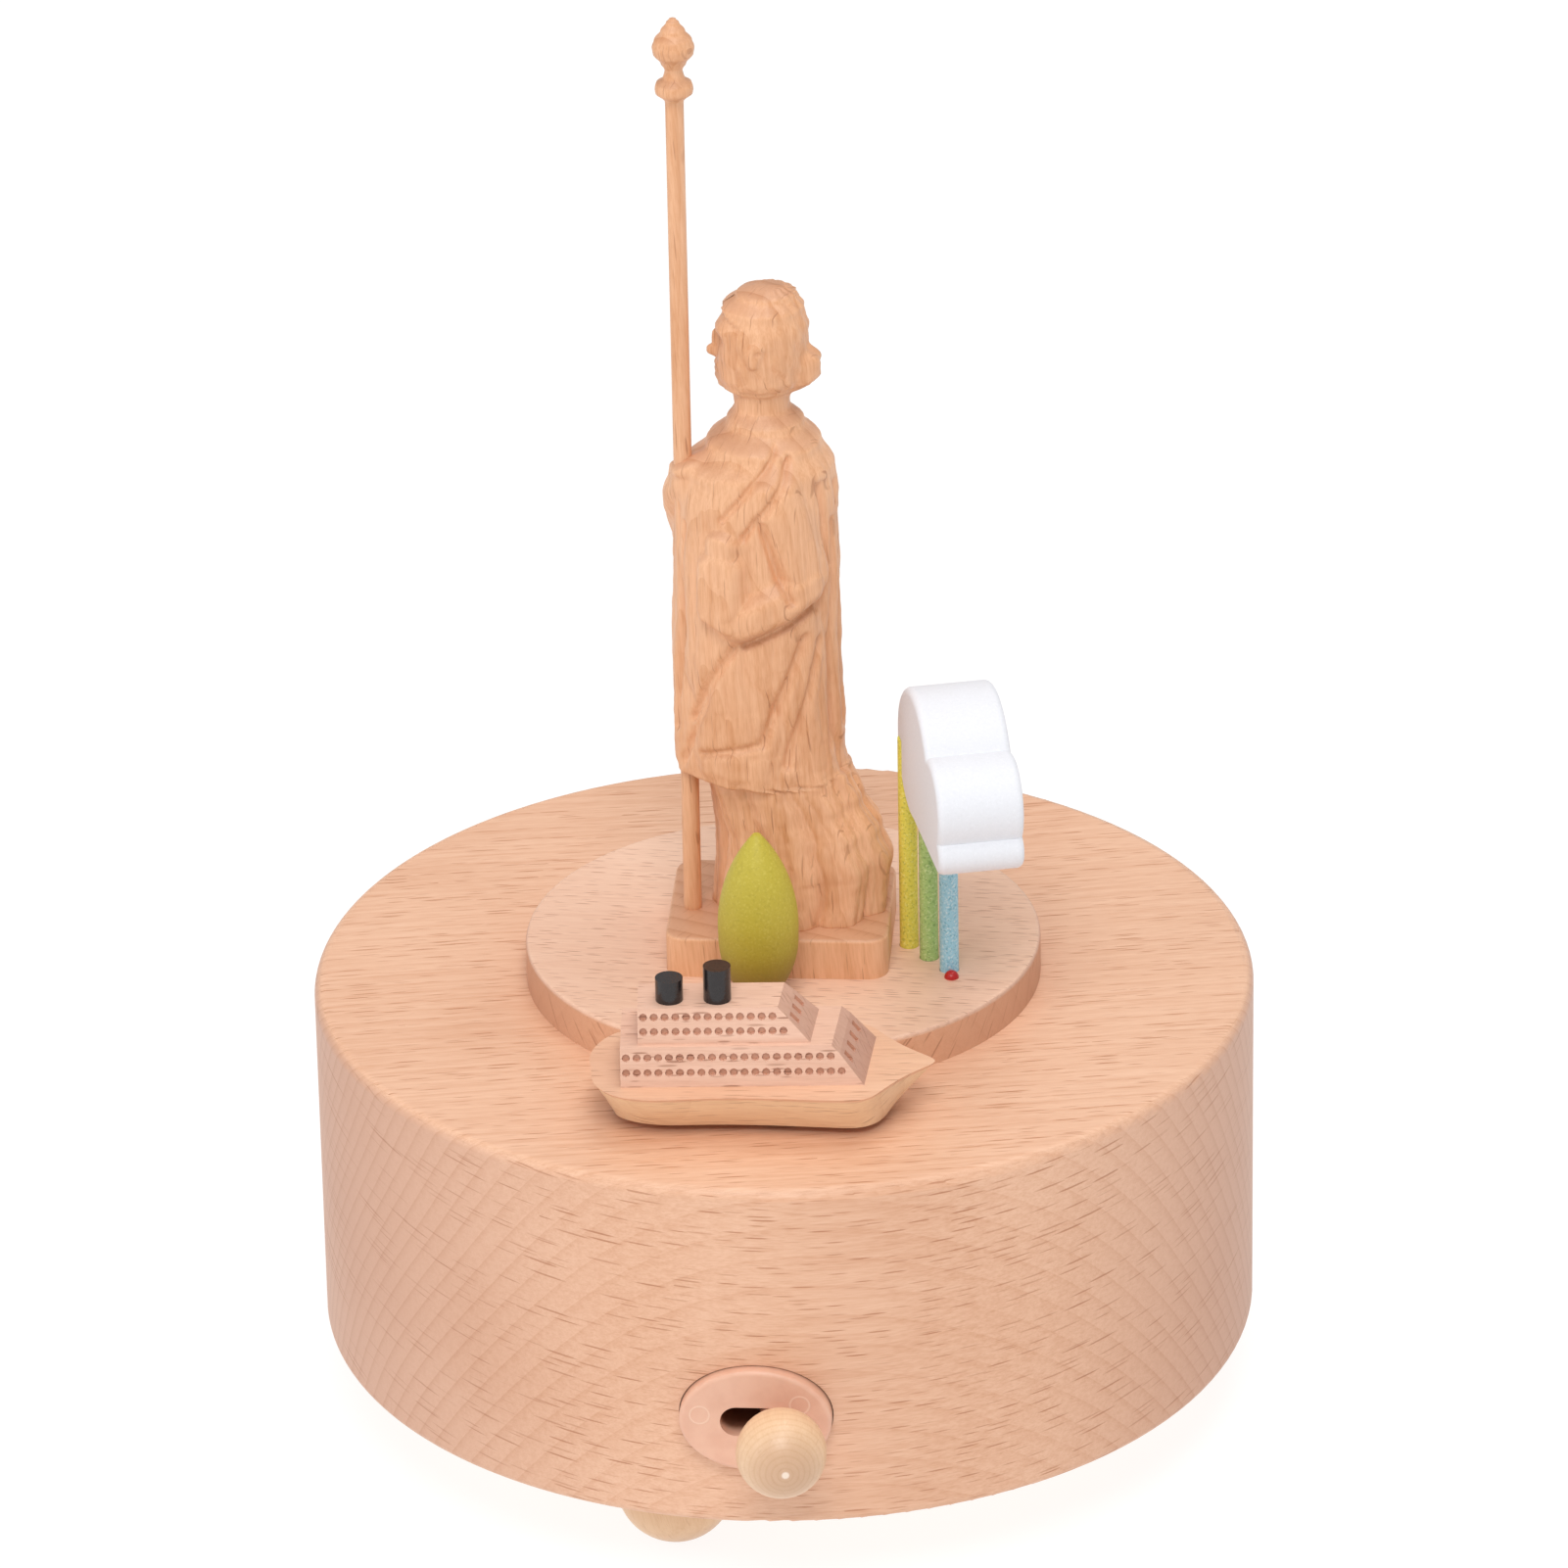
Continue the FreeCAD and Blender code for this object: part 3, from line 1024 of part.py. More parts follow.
key.Tip = pocket(key, key_bore, "Sizes.drum_height", "key_bore_cut", flip=True)

# The crown wheel: teeth stand up round its rim and drive the cylinder's pinion.
GREAT_RADIUS = "Sizes.great_teeth * Sizes.great_module / 2"
PITCH_LEVEL = "Sizes.axis_level - Sizes.drive_teeth * Sizes.great_module / 2"
TOOTH_FLOOR = "Sizes.great_module * 1.3"
TOOTH_TOP = "Sizes.great_module * 0.7"
NOTCH_HALF = "Sizes.great_module * 1.03"
SLOPE = "tan(20 deg)"
crown = turned_body("crown_wheel", PITCH_LEVEL)
turned(crown, "crown_blank", [
    ("Sizes.spindle_dia / 2 + Sizes.bond_gap", f"-({TOOTH_FLOOR} + Sizes.great_web)"),
    (f"{GREAT_RADIUS} + Sizes.great_face / 2", f"-({TOOTH_FLOOR} + Sizes.great_web)"),
    (f"{GREAT_RADIUS} + Sizes.great_face / 2", TOOTH_TOP),
    (f"{GREAT_RADIUS} - Sizes.great_face / 2", TOOTH_TOP),
    (f"{GREAT_RADIUS} - Sizes.great_face / 2", f"-({TOOTH_FLOOR})"),
    ("Sizes.spindle_dia / 2 + Sizes.bond_gap", f"-({TOOTH_FLOOR})"),
])
notch_sketch = sketch_on(crown, "tooth_notch", "YZ_Plane")
NOTCH_TOP = f"{NOTCH_HALF} + {TOOTH_TOP} * {SLOPE}"
NOTCH_FOOT = f"{NOTCH_HALF} - {TOOTH_FLOOR} * {SLOPE}"
outline(notch_sketch, [(f"-({NOTCH_TOP})", TOOTH_TOP), (f"-({NOTCH_FOOT})", f"-({TOOTH_FLOOR})"),
                       (NOTCH_FOOT, f"-({TOOTH_FLOOR})"), (NOTCH_TOP, TOOTH_TOP)])
notch = pocket(crown, notch_sketch, f"{GREAT_RADIUS} + Sizes.great_face", "notch", flip=True)
around(crown, notch, "Sizes.great_teeth", "crown_teeth")

# The magnet arm: a flat brass arm on the spindle's top, its magnet under the lid.
MAGNET_LEVEL = f"{ROOF_LEVEL} - Sizes.magnet_gap - Sizes.magnet_thick"
arm = body("magnet_arm")
place(arm, up=f"{MAGNET_LEVEL} - Sizes.arm_thick")
turn_to(arm, SHIP_HEADING)
arm_sketch = sketch_on(arm, "arm_outline")
outline(arm_sketch, [("-Sizes.arm_width / 2", f"-{SHIP_RADIUS}"),
                     ("Sizes.arm_width / 2", f"-{SHIP_RADIUS}"),
                     ("Sizes.arm_width / 2", "Sizes.arm_tail"),
                     ("-Sizes.arm_width / 2", "Sizes.arm_tail")])
pad(arm, arm_sketch, "Sizes.arm_thick", "arm_bar")
for label, spot in (("arm_end", f"-{SHIP_RADIUS}"), ("arm_weight", "Sizes.arm_tail")):
    end_sketch = sketch_on(arm, label)
    ring(end_sketch, "Sizes.arm_width", "0", spot)
    pad(arm, end_sketch, "Sizes.arm_thick", label + "_pad")
arm_bore = sketch_on(arm, "arm_bore")
ring(arm_bore, "Sizes.spindle_dia + 2 * Sizes.bond_gap")
arm.Tip = pocket(arm, arm_bore, "Sizes.arm_thick", "arm_bore_cut", flip=True)
magnet_x, magnet_y = at_radius(SHIP_RADIUS, f"{SHIP_HEADING} - 90")
keep("drive_magnet", cylinder("lead_magnet", "Sizes.magnet_dia", "Sizes.magnet_thick",
                              magnet_x, magnet_y, MAGNET_LEVEL))

# The cylinder with its shaft, pinion and gear lies along the movement's X axis.
CYLINDER_END = "(Sizes.cylinder_start + Sizes.cylinder_length)"
GEAR_START = f"({CYLINDER_END} + 0.2)"
WORM_WHEEL_START = f"({GEAR_START} + Sizes.gear_face + Sizes.gear_gap + 0.2)"
WORM_ALONG = f"({WORM_WHEEL_START} + Sizes.gear_face / 2)"
FRAME_ALONG = f"({WORM_ALONG} + 1.6)"
STEP_RADIUS = "(Sizes.cylinder_gear_teeth + Sizes.step_pinion_teeth) * Sizes.wheel_module / 2"
PINION_START = f"({GREAT_RADIUS} - Sizes.great_face / 2 - 0.1)"
CHEEK_ALONG = "(Sizes.cylinder_start - 0.7 - Sizes.cheek_thick)"


def lying(name, dia, length, along, back="0", level="Sizes.axis_level"):
    """A round bar along the movement's X axis."""
    bar = doc.addObject("Part::Cylinder", name)
    drive(bar, Radius=f"({dia}) / 2", Height=length)
    bar.Placement = Placement(Vector(0, 0, 0), Rotation(Vector(0, 1, 0), 90))
    place(bar, along, back, level)
    return bar


def in_movement(name, *things):
    """Turn finished pieces with the movement about the spindle."""
    whole = doc.addObject("Part::Compound", name)
    whole.Links = list(things)
    turn_to(whole, MOVEMENT_TURN)
    return keep(name, whole)


def gear_feature(name, shape, along, back="0"):
    """A gear placed on its own shaft in the movement."""
    thing = doc.addObject("Part::Feature", name + "_form")
    thing.Shape = shape
    thing.Placement = Placement(Vector(0, 0, 0), Rotation())
    place(thing, along, back, "Sizes.axis_level")
    return thing


SHAFT_BORE = size("Sizes.cylinder_shaft_dia / 2 + Sizes.bond_gap")
in_movement("cylinder_shaft", lying("shaft", "Sizes.cylinder_shaft_dia",
                                    f"{FRAME_ALONG} + Sizes.cheek_thick - {PINION_START}",
                                    PINION_START))
drive_teeth = int(size("Sizes.drive_teeth"))
in_movement("cylinder_pinion", gear_feature(
    "cylinder_pinion", gear_shape(drive_teeth, size("Sizes.great_module"),
                                  size("Sizes.great_face + 0.1"), SHAFT_BORE, 180.0),
    PINION_START))
cylinder_teeth = int(size("Sizes.cylinder_gear_teeth"))
in_movement("cylinder_gear", gear_feature(
    "cylinder_gear", gear_shape(cylinder_teeth, size("Sizes.wheel_module"),
                                size("Sizes.gear_face"), SHAFT_BORE, 90.0),
    GEAR_START))
drum_tube = lying("tune_tube", "Sizes.cylinder_dia", "Sizes.cylinder_length",
                  "Sizes.cylinder_start")
tube_bore = lying("tune_tube_bore", "Sizes.cylinder_shaft_dia + 2 * Sizes.bond_gap",
                  "Sizes.cylinder_length", "Sizes.cylinder_start")


def note_pins():
    """Small square pins round the cylinder, three or so under each tooth of the comb."""
    notes = int(size("Sizes.comb_notes"))
    side = size("Sizes.note_pin_side")
    root = size("Sizes.cylinder_dia / 2") - 0.3
    pins = []
    for number in range(int(size("Sizes.note_pins"))):
        pin = Part.makeBox(side, side, size("Sizes.note_pin_reach") + 0.3,
                           Vector(0, -side / 2, root))
        pin.rotate(Vector(0, 0, 0), Vector(1, 0, 0), NOTE_TURN * number)
        along = size(f"{COMB_START} + {COMB_PITCH} * {number % notes + 0.4} - {side / 2}")
        pin.translate(Vector(along, 0, size("Sizes.axis_level")))
        pins.append(pin)
    return pins


COMB_PITCH = "Sizes.cylinder_length / (Sizes.comb_notes + 0.3)"
COMB_START = f"(Sizes.cylinder_start + {COMB_PITCH} * 0.2)"
NOTE_TURN = 137.5
pins = doc.addObject("Part::Feature", "note_pins")
pins.Shape = Part.makeCompound(note_pins())
in_movement("pinned_cylinder", cut("tune_cylinder", joined("pinned_tube", drum_tube, pins),
                                   tube_bore))

# The step-up arbor: a pinion driven by the cylinder's gear and the wheel that drives the worm.
STEP_BACK = f"-({STEP_RADIUS})"
STEP_BORE = size("Sizes.step_arbor_dia / 2 + Sizes.bond_gap")
STEP_START = f"({CYLINDER_END} - 2.6)"
step_teeth = int(size("Sizes.step_pinion_teeth"))
worm_teeth = int(size("Sizes.worm_wheel_teeth"))
half_tooth = 180.0 / step_teeth
in_movement("step_arbor", lying("step_shaft", "Sizes.step_arbor_dia",
                                f"{FRAME_ALONG} + Sizes.cheek_thick - {STEP_START}",
                                STEP_START, STEP_BACK))
in_movement("step_pinion", gear_feature(
    "step_pinion", gear_shape(step_teeth, size("Sizes.wheel_module"), size("Sizes.gear_face"),
                              STEP_BORE, 90.0 + half_tooth),
    GEAR_START, STEP_BACK))
in_movement("worm_wheel", gear_feature(
    "worm_wheel", gear_shape(worm_teeth, size("Sizes.wheel_module"), size("Sizes.gear_face"),
                             STEP_BORE, 90.0),
    WORM_WHEEL_START, STEP_BACK))

# The governor: a worm on an upright shaft whose air brake keeps the tune slow.
WORM_BACK = f"-({STEP_RADIUS} + Sizes.worm_offset)"
WORM_FOOT = f"({BED_TOP} + 1.2)"
FAN_FOOT = "(Sizes.housing_top + 0.2)"
worm_shaft = cylinder("worm_shaft", "Sizes.worm_shaft_dia",
                      f"{FAN_FOOT} + Sizes.fan_height + 0.3 - {WORM_FOOT}",
                      WORM_ALONG, WORM_BACK, WORM_FOOT)
worm_core = cylinder("worm_core", "Sizes.worm_core_dia", "8.4", WORM_ALONG, WORM_BACK,
                     "Sizes.axis_level - 4.6")
in_movement("governor_worm", joined("worm_on_shaft", worm_shaft, worm_core))
fan_hub = cylinder("fan_hub", "Sizes.worm_shaft_dia + 1.4", "Sizes.fan_height",
                   WORM_ALONG, WORM_BACK, FAN_FOOT)
fan_bar = block("fan_bar", "Sizes.fan_dia", "Sizes.fan_blade", "Sizes.fan_height",
                f"{WORM_ALONG} - Sizes.fan_dia / 2", f"{WORM_BACK} - Sizes.fan_blade / 2",
                FAN_FOOT)
fan_bore = cylinder("fan_bore", "Sizes.worm_shaft_dia + 2 * Sizes.bond_gap",
                    "Sizes.fan_height", WORM_ALONG, WORM_BACK, FAN_FOOT)
in_movement("air_brake", cut("brake_vanes", joined("fan_blank", fan_hub, fan_bar), fan_bore))

# Bearings: a cheek for the cylinder, a short cheek for the step-up arbor and the governor's
# frame, whose two arms hold the worm.
CHEEK_HOLE = "Sizes.cylinder_shaft_dia + 2 * Sizes.shaft_gap"
STEP_HOLE = "Sizes.step_arbor_dia + 2 * Sizes.shaft_gap"
WORM_HOLE = "Sizes.worm_shaft_dia + 2 * Sizes.shaft_gap"
left_cheek = block("left_cheek", "Sizes.cheek_thick", "8", f"Sizes.axis_level + 3 - ({BED_TOP})",
                   CHEEK_ALONG, "-4", BED_TOP)
in_movement("cylinder_bearing", cut("cylinder_cheek", left_cheek, lying(
    "left_cheek_hole", CHEEK_HOLE, "Sizes.cheek_thick", CHEEK_ALONG)))
step_cheek = block("step_cheek", "Sizes.cheek_thick", "3.4",
                   f"Sizes.axis_level + 2.2 - ({BED_TOP})",
                   f"{STEP_START} + 0.2", f"{STEP_BACK} - 2", BED_TOP)
in_movement("step_bearing", cut("step_cheek_cut", step_cheek, lying(
    "step_cheek_hole", STEP_HOLE, "Sizes.cheek_thick", f"{STEP_START} + 0.2", STEP_BACK)))
frame_plate = block("frame_plate", "Sizes.cheek_thick", f"5 - ({WORM_BACK}) + 4.5",
                    f"Sizes.housing_top - 1 - ({BED_TOP})", FRAME_ALONG,
                    f"{WORM_BACK} - 4.5", BED_TOP)
arms = []
for label, level in (("lower", f"{WORM_FOOT} + 0.2"), ("upper", "Sizes.housing_top - 2")):
    arms.append(block(f"{label}_arm", "3.4", "3.6", "1", f"{FRAME_ALONG} - 3.4 + 0.1",
                      f"{WORM_BACK} - 1.8", level))
worm_bore = cylinder("worm_bore", WORM_HOLE, "16", WORM_ALONG, WORM_BACK, BED_TOP)
in_movement("governor_frame", cut(
    "frame_cut", joined("frame_blank", frame_plate, *arms), worm_bore,
    lying("frame_shaft_hole", CHEEK_HOLE, "2", f"{FRAME_ALONG} - 0.5"),
    lying("frame_step_hole", STEP_HOLE, "2", f"{FRAME_ALONG} - 0.5", STEP_BACK)))

# The comb: tuned steel teeth cut into one plate, screwed to a riser on the bedplate.
COMB_TIP = "(Sizes.cylinder_dia / 2 + Sizes.note_pin_reach + Sizes.comb_tip_gap)"
COMB_FOOT = "Sizes.axis_level - Sizes.comb_thick / 2"
notes = int(size("Sizes.comb_notes"))
comb = turned_body("comb", COMB_FOOT)
teeth_sketch = sketch_on(comb, "comb_teeth")
corners = []
for note in range(notes):
    left = f"{COMB_START} + {COMB_PITCH} * {note}"
    right = f"{COMB_START} + {COMB_PITCH} * {note + 1} - Sizes.comb_slot"
    share = note / (notes - 1)
    root = f"Sizes.comb_root_bass + (Sizes.comb_root_treble - Sizes.comb_root_bass) * {share}"
    corners.append((left, COMB_TIP))
    corners.append((right, COMB_TIP))
    if note < notes - 1:
        corners.append((right, root))
        corners.append((f"{right} + Sizes.comb_slot", root))
corners.append((corners[-1][0], "Sizes.comb_back"))
corners.append((corners[0][0], "Sizes.comb_back"))
outline(teeth_sketch, corners)
pad(comb, teeth_sketch, "Sizes.comb_thick", "comb_plate")
base_sketch = sketch_on(comb, "comb_base", level="Sizes.comb_thick")
outline(base_sketch, [(corners[0][0], "Sizes.comb_root_bass + 0.4"),
                      (corners[-2][0], "Sizes.comb_root_bass + 0.4"),
                      (corners[-2][0], "Sizes.comb_back"),
                      (corners[0][0], "Sizes.comb_back")])
comb.Tip = pad(comb, base_sketch, "Sizes.comb_thick", "comb_base_pad")
doc.recompute()
SCREW_BACK = "(Sizes.comb_root_bass + 0.4 + Sizes.comb_back) / 2"
comb_spots = [(f"Sizes.cylinder_start + Sizes.cylinder_length * {share}", SCREW_BACK)
              for share in (0.22, 0.78)]
COMB_TOP = f"{COMB_FOOT} + 2 * Sizes.comb_thick"
comb_holes = [cylinder(f"comb_hole_{number}", "Sizes.comb_screw_dia", "4", along, back,
                       f"{COMB_FOOT} - 3")
              for number, (along, back) in enumerate(comb_spots, start=1)]
riser = block("riser_block", "Sizes.cylinder_length + 0.6", "Sizes.comb_back - 14.4",
              f"{COMB_FOOT} - ({BED_TOP})", "Sizes.cylinder_start - 0.3", "14.4", BED_TOP)
in_movement("comb_riser", cut("comb_riser_cut", riser, *comb_holes))
plate_holes = [cylinder(f"comb_plate_hole_{number}", "Sizes.comb_screw_dia + 0.1", "4",
                        along, back, f"{COMB_FOOT} - 1")
               for number, (along, back) in enumerate(comb_spots, start=1)]
comb_cutters = joined("comb_cutters", *plate_holes)
turn_to(comb_cutters, MOVEMENT_TURN)
comb.Label = "comb_blank"
keep("comb", cut("drilled_comb", comb, comb_cutters))
comb_screws = []
for number, (along, back) in enumerate(comb_spots, start=1):
    comb_screws.append(joined(
        f"comb_screw_{number}",
        cylinder(f"comb_screw_head_{number}", "Sizes.comb_screw_dia * 1.6", "1.1", along, back,
                 COMB_TOP),
        cylinder(f"comb_screw_shank_{number}", "Sizes.comb_screw_dia - 0.1", "4.2",
                 along, back, f"{COMB_TOP} - 4.1")))
in_movement("comb_screws", *comb_screws)


# The ship: modelled at the front of its round, along X, then turned to where it stands.
HULL_MIDDLE = -size(SHIP_RADIUS) - size("Sizes.hull_shift")


# Spots along one side from stern to bow, as shares of the length and of half the beam
DECK_LINE = [(0.0, 0.0), (0.011, 0.45), (0.068, 0.80), (0.32, 0.92), (0.72, 1.0), (0.805, 0.95),
             (0.842, 0.774), (0.90, 0.45), (0.97, 0.165), (1.0, 0.0)]
KEEL_LINE = [(0.0, 0.0), (0.012, 0.36), (0.075, 0.66), (0.314, 0.82), (0.80, 1.0), (0.895, 0.98),
             (0.943, 0.813), (0.976, 0.53), (0.994, 0.24), (1.0, 0.0)]


def hull_section(stern, bow, half, level, line):
    """A smooth closed line through the spots of both sides."""
    spots = [Vector(stern + (bow - stern) * share, HULL_MIDDLE + half * beam, level)
             for share, beam in line]
    spots += [Vector(stern + (bow - stern) * share, HULL_MIDDLE - half * beam, level)
              for share, beam in line[-2:0:-1]]
    curve = Part.BSplineCurve()
    curve.interpolate(Points=spots, PeriodicFlag=True)
    return Part.Wire(curve.toShape())


def ship_hull():
    lid = size(LID_LEVEL)
    keel = lid + size("Sizes.ship_lift")
    deck = lid + size("Sizes.deck_level")
    low = hull_section(size("Sizes.keel_stern"), size("Sizes.keel_bow"),
                       size("Sizes.keel_half"), keel, KEEL_LINE)
    high = hull_section(size("Sizes.stern_end"), size("Sizes.bow_end"),
                        size("Sizes.deck_half"), deck, DECK_LINE)
    hull = Part.makeLoft([low, high], True, True)
    rebate = Part.makeCylinder(size("Sizes.disc_dia / 2 + Sizes.ship_clear"),
                               size("Sizes.disc_thick + Sizes.ship_clear"), Vector(0, 0, lid))
    seat = Part.makeCylinder(size("Sizes.magnet_dia / 2 + Sizes.bond_gap"),
                             size("Sizes.ship_magnet_thick + Sizes.bond_gap"),
                             Vector(0, -size(SHIP_RADIUS), keel))
    return hull.cut([rebate, seat])


solid("ship_hull", ship_hull(), size(SHIP_HEADING))
DECK_LEVEL = f"{LID_LEVEL} + Sizes.deck_level"


def cabin_sizes(prefix):
    """After end, fore end, rake, depth and height of a cabin."""
    return [size(f"Sizes.{prefix}_{word}") for word in ("start", "end", "rake", "depth", "height")]


def cabin(prefix, level):
    """A cabin block: leaning sides, a raked front cut askew and a bevel at its roof."""
    start, end, rake, depth, height = cabin_sizes(prefix)
    bevel = size("Sizes.cabin_bevel")
    foot = size(level)
    profile = [(start, 0, 0), (end, 0, 1), (end - rake, height - bevel, 1),
               (end - rake - bevel, height, 1), (start, height, 0)]
    sides = []
    for hand in (-1, 1):
        corners = []
        for along, rise, askew in profile:
            across = hand * (depth / 2 - size("Sizes.cabin_draft") * rise / height)
            corners.append(Vector(along + askew * size("Sizes.cabin_skew") * across,
                                  across - size(SHIP_RADIUS), foot + rise))
        sides.append(corners)
    faces = [Part.Face(Part.makePolygon(side + side[:1])) for side in sides]
    near, far = sides
    for number in range(len(profile)):
        after = (number + 1) % len(profile)
        faces.append(Part.Face(Part.makePolygon(
            [near[number], near[after], far[after], far[number], near[number]])))
    block = Part.makeSolid(Part.makeShell(faces))
    if block.Volume < 0:
        block.reverse()
    thing = doc.addObject("Part::Feature", prefix + "_block")
    thing.Shape = block
    return thing


def on_ship(name, *things):
    """Turn finished pieces to where the ship stands on its round."""
    whole = doc.addObject("Part::Compound", name)
    whole.Links = list(things)
    turn_to(whole, SHIP_HEADING)
    return keep(name, whole)


# Height of the slots as a share of the raked face, and how far a punch stands out of the wood
SLOT_SHARE = 0.7
PUNCH_OVER = 0.5


def punches(prefix, rows, slots, level):
    """Tools that punch round windows in both sides of a cabin and slots in its raked front."""
    start, end, rake, depth, height = cabin_sizes(prefix)
    middle = -size(SHIP_RADIUS)
    foot = size(level)
    radius = size("Sizes.window_dia / 2")
    deep = size("Sizes.window_depth")
    pitch = size("Sizes.window_pitch")
    corners = [Vector(radius * math.cos(math.pi / 4 * corner), 0,
                      radius * math.sin(math.pi / 4 * corner)) for corner in range(9)]
    window = Part.Face(Part.makePolygon(corners)).extrude(Vector(0, deep + PUNCH_OVER, 0))
    tools = []
    for share, count in rows:
        lean = size("Sizes.cabin_draft") * share
        first = start + size("Sizes.window_inset")
        for number in range(count):
            for side in (-1, 1):
                wall = middle + side * (depth / 2 - lean)
                tool = window.copy()
                tool.translate(Vector(first + pitch * number,
                                      wall - (PUNCH_OVER if side < 0 else deep),
                                      foot + share * height))
                tools.append(tool)
    face = height - size("Sizes.cabin_bevel")
    slope = math.degrees(math.atan2(face, rake))
    slot_long = size("Sizes.front_slot_length")
    gap = (depth - 2 * size("Sizes.cabin_draft")) / slots
    for number in range(slots):
        tool = Part.makeBox(slot_long, 2 * radius, deep + PUNCH_OVER,
                            Vector(-slot_long / 2, -radius, -deep))
        tool.rotate(Vector(0, 0, 0), Vector(0, 1, 0), slope)
        across = gap * (number - (slots - 1) / 2)
        tool.translate(Vector(end - rake * SLOT_SHARE + size("Sizes.cabin_skew") * across,
                              middle + across, foot + face * SLOT_SHARE))
        tools.append(tool)
    thing = doc.addObject("Part::Feature", f"{prefix}_punches")
    thing.Shape = Part.makeCompound(tools)
    return thing


LOW_ROOF = f"({DECK_LEVEL} + Sizes.low_cabin_height)"
HIGH_ROOF = f"({LOW_ROOF} + Sizes.high_cabin_height)"
low_count = int(size("Sizes.low_windows"))
high_count = int(size("Sizes.high_windows"))
for name, prefix, rows, slots, level in (
        ("lower_cabin", "low_cabin", [(0.355, low_count + 1), (0.73, low_count)],
         int(size("Sizes.low_slots")), DECK_LEVEL),
        ("upper_cabin", "high_cabin", [(0.34, high_count + 1), (0.75, high_count)],
         int(size("Sizes.high_slots")), LOW_ROOF)):
    on_ship(name, cut(f"{prefix}_punched", cabin(prefix, level),
                      punches(prefix, rows, slots, level)))
for label in ("short", "tall"):
    on_ship(f"{label}_funnel", cylinder(
        f"{label}_pipe", "Sizes.funnel_dia", f"Sizes.{label}_funnel_height",
        f"Sizes.{label}_funnel_along", f"-{SHIP_RADIUS} - Sizes.funnel_shift", HIGH_ROOF))
on_ship("ship_magnet", cylinder("hull_magnet", "Sizes.magnet_dia", "Sizes.ship_magnet_thick",
                                "0", f"-{SHIP_RADIUS}", f"{LID_LEVEL} + Sizes.ship_lift"))
on_ship("glide_pad", cylinder("felt_pad", "Sizes.pad_dia", "Sizes.ship_lift - Sizes.pad_gap",
                              "0", f"-{SHIP_RADIUS}", f"{LID_LEVEL} + Sizes.pad_gap"))

# Every object must have been worked out before anything is written
doc.recompute()
for thing in doc.Objects:
    if "Invalid" in thing.State or "Error" in thing.State:
        raise RuntimeError(f"{thing.Label} was not worked out")
for name, thing in NODES.items():
    if thing.Shape.isNull() or not thing.Shape.isValid():
        raise RuntimeError(f"{name} has no valid shape")
os.makedirs("parts", exist_ok=True)
for name, thing in NODES.items():
    thing.Shape.exportStep(f"parts/{name}.step")
print(len(NODES), "pieces written")
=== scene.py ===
import math
import bmesh
import bpy
from mathutils import Euler, Matrix, Vector
from mathutils.noise import cell, noise


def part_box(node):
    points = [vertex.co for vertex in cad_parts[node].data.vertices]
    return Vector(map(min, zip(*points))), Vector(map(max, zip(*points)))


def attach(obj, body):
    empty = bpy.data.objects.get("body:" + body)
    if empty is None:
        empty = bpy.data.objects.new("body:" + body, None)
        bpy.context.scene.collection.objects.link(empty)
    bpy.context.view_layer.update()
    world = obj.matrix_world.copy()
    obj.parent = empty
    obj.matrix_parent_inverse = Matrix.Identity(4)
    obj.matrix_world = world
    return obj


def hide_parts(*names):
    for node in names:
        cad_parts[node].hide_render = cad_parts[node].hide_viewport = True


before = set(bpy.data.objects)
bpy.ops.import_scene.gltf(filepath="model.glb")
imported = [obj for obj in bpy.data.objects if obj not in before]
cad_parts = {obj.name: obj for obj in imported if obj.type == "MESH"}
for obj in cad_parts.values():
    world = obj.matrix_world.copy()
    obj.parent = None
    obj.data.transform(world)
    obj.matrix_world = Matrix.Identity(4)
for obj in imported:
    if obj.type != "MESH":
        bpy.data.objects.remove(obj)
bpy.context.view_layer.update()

# Camera
# The photograph looks down at the front from about 26 degrees with a long lens, and from
# about 4 degrees to the right of the switch. The camera is rolled by one degree.
MM = 0.001
CAMERA_PLACE = Vector((77.77, -1034.23, 584.3)) * MM
CAMERA_TARGET = Vector((0.426, 0.032, 76.55)) * MM
CAMERA_ROLL = math.radians(1.065)
LENS_MM = 228.34
SENSOR_MM = 36
NEAREST_SEEN = 0.05
FARTHEST_SEEN = 20
ahead = (CAMERA_TARGET - CAMERA_PLACE).normalized()
level_right = ahead.cross(Vector((0, 0, 1))).normalized()
level_up = level_right.cross(ahead)
picture_right = level_right * math.cos(CAMERA_ROLL) - level_up * math.sin(CAMERA_ROLL)
picture_up = level_right * math.sin(CAMERA_ROLL) + level_up * math.cos(CAMERA_ROLL)
camera_data = bpy.data.cameras.new("camera")
camera_data.lens = LENS_MM
camera_data.sensor_width = SENSOR_MM
camera_data.clip_start = NEAREST_SEEN
camera_data.clip_end = FARTHEST_SEEN
camera = bpy.data.objects.new("camera", camera_data)
camera_turn = Matrix((picture_right, picture_up, -ahead)).transposed().to_4x4()
camera.matrix_world = Matrix.Translation(CAMERA_PLACE) @ camera_turn
bpy.context.scene.collection.objects.link(camera)
bpy.context.scene.camera = camera

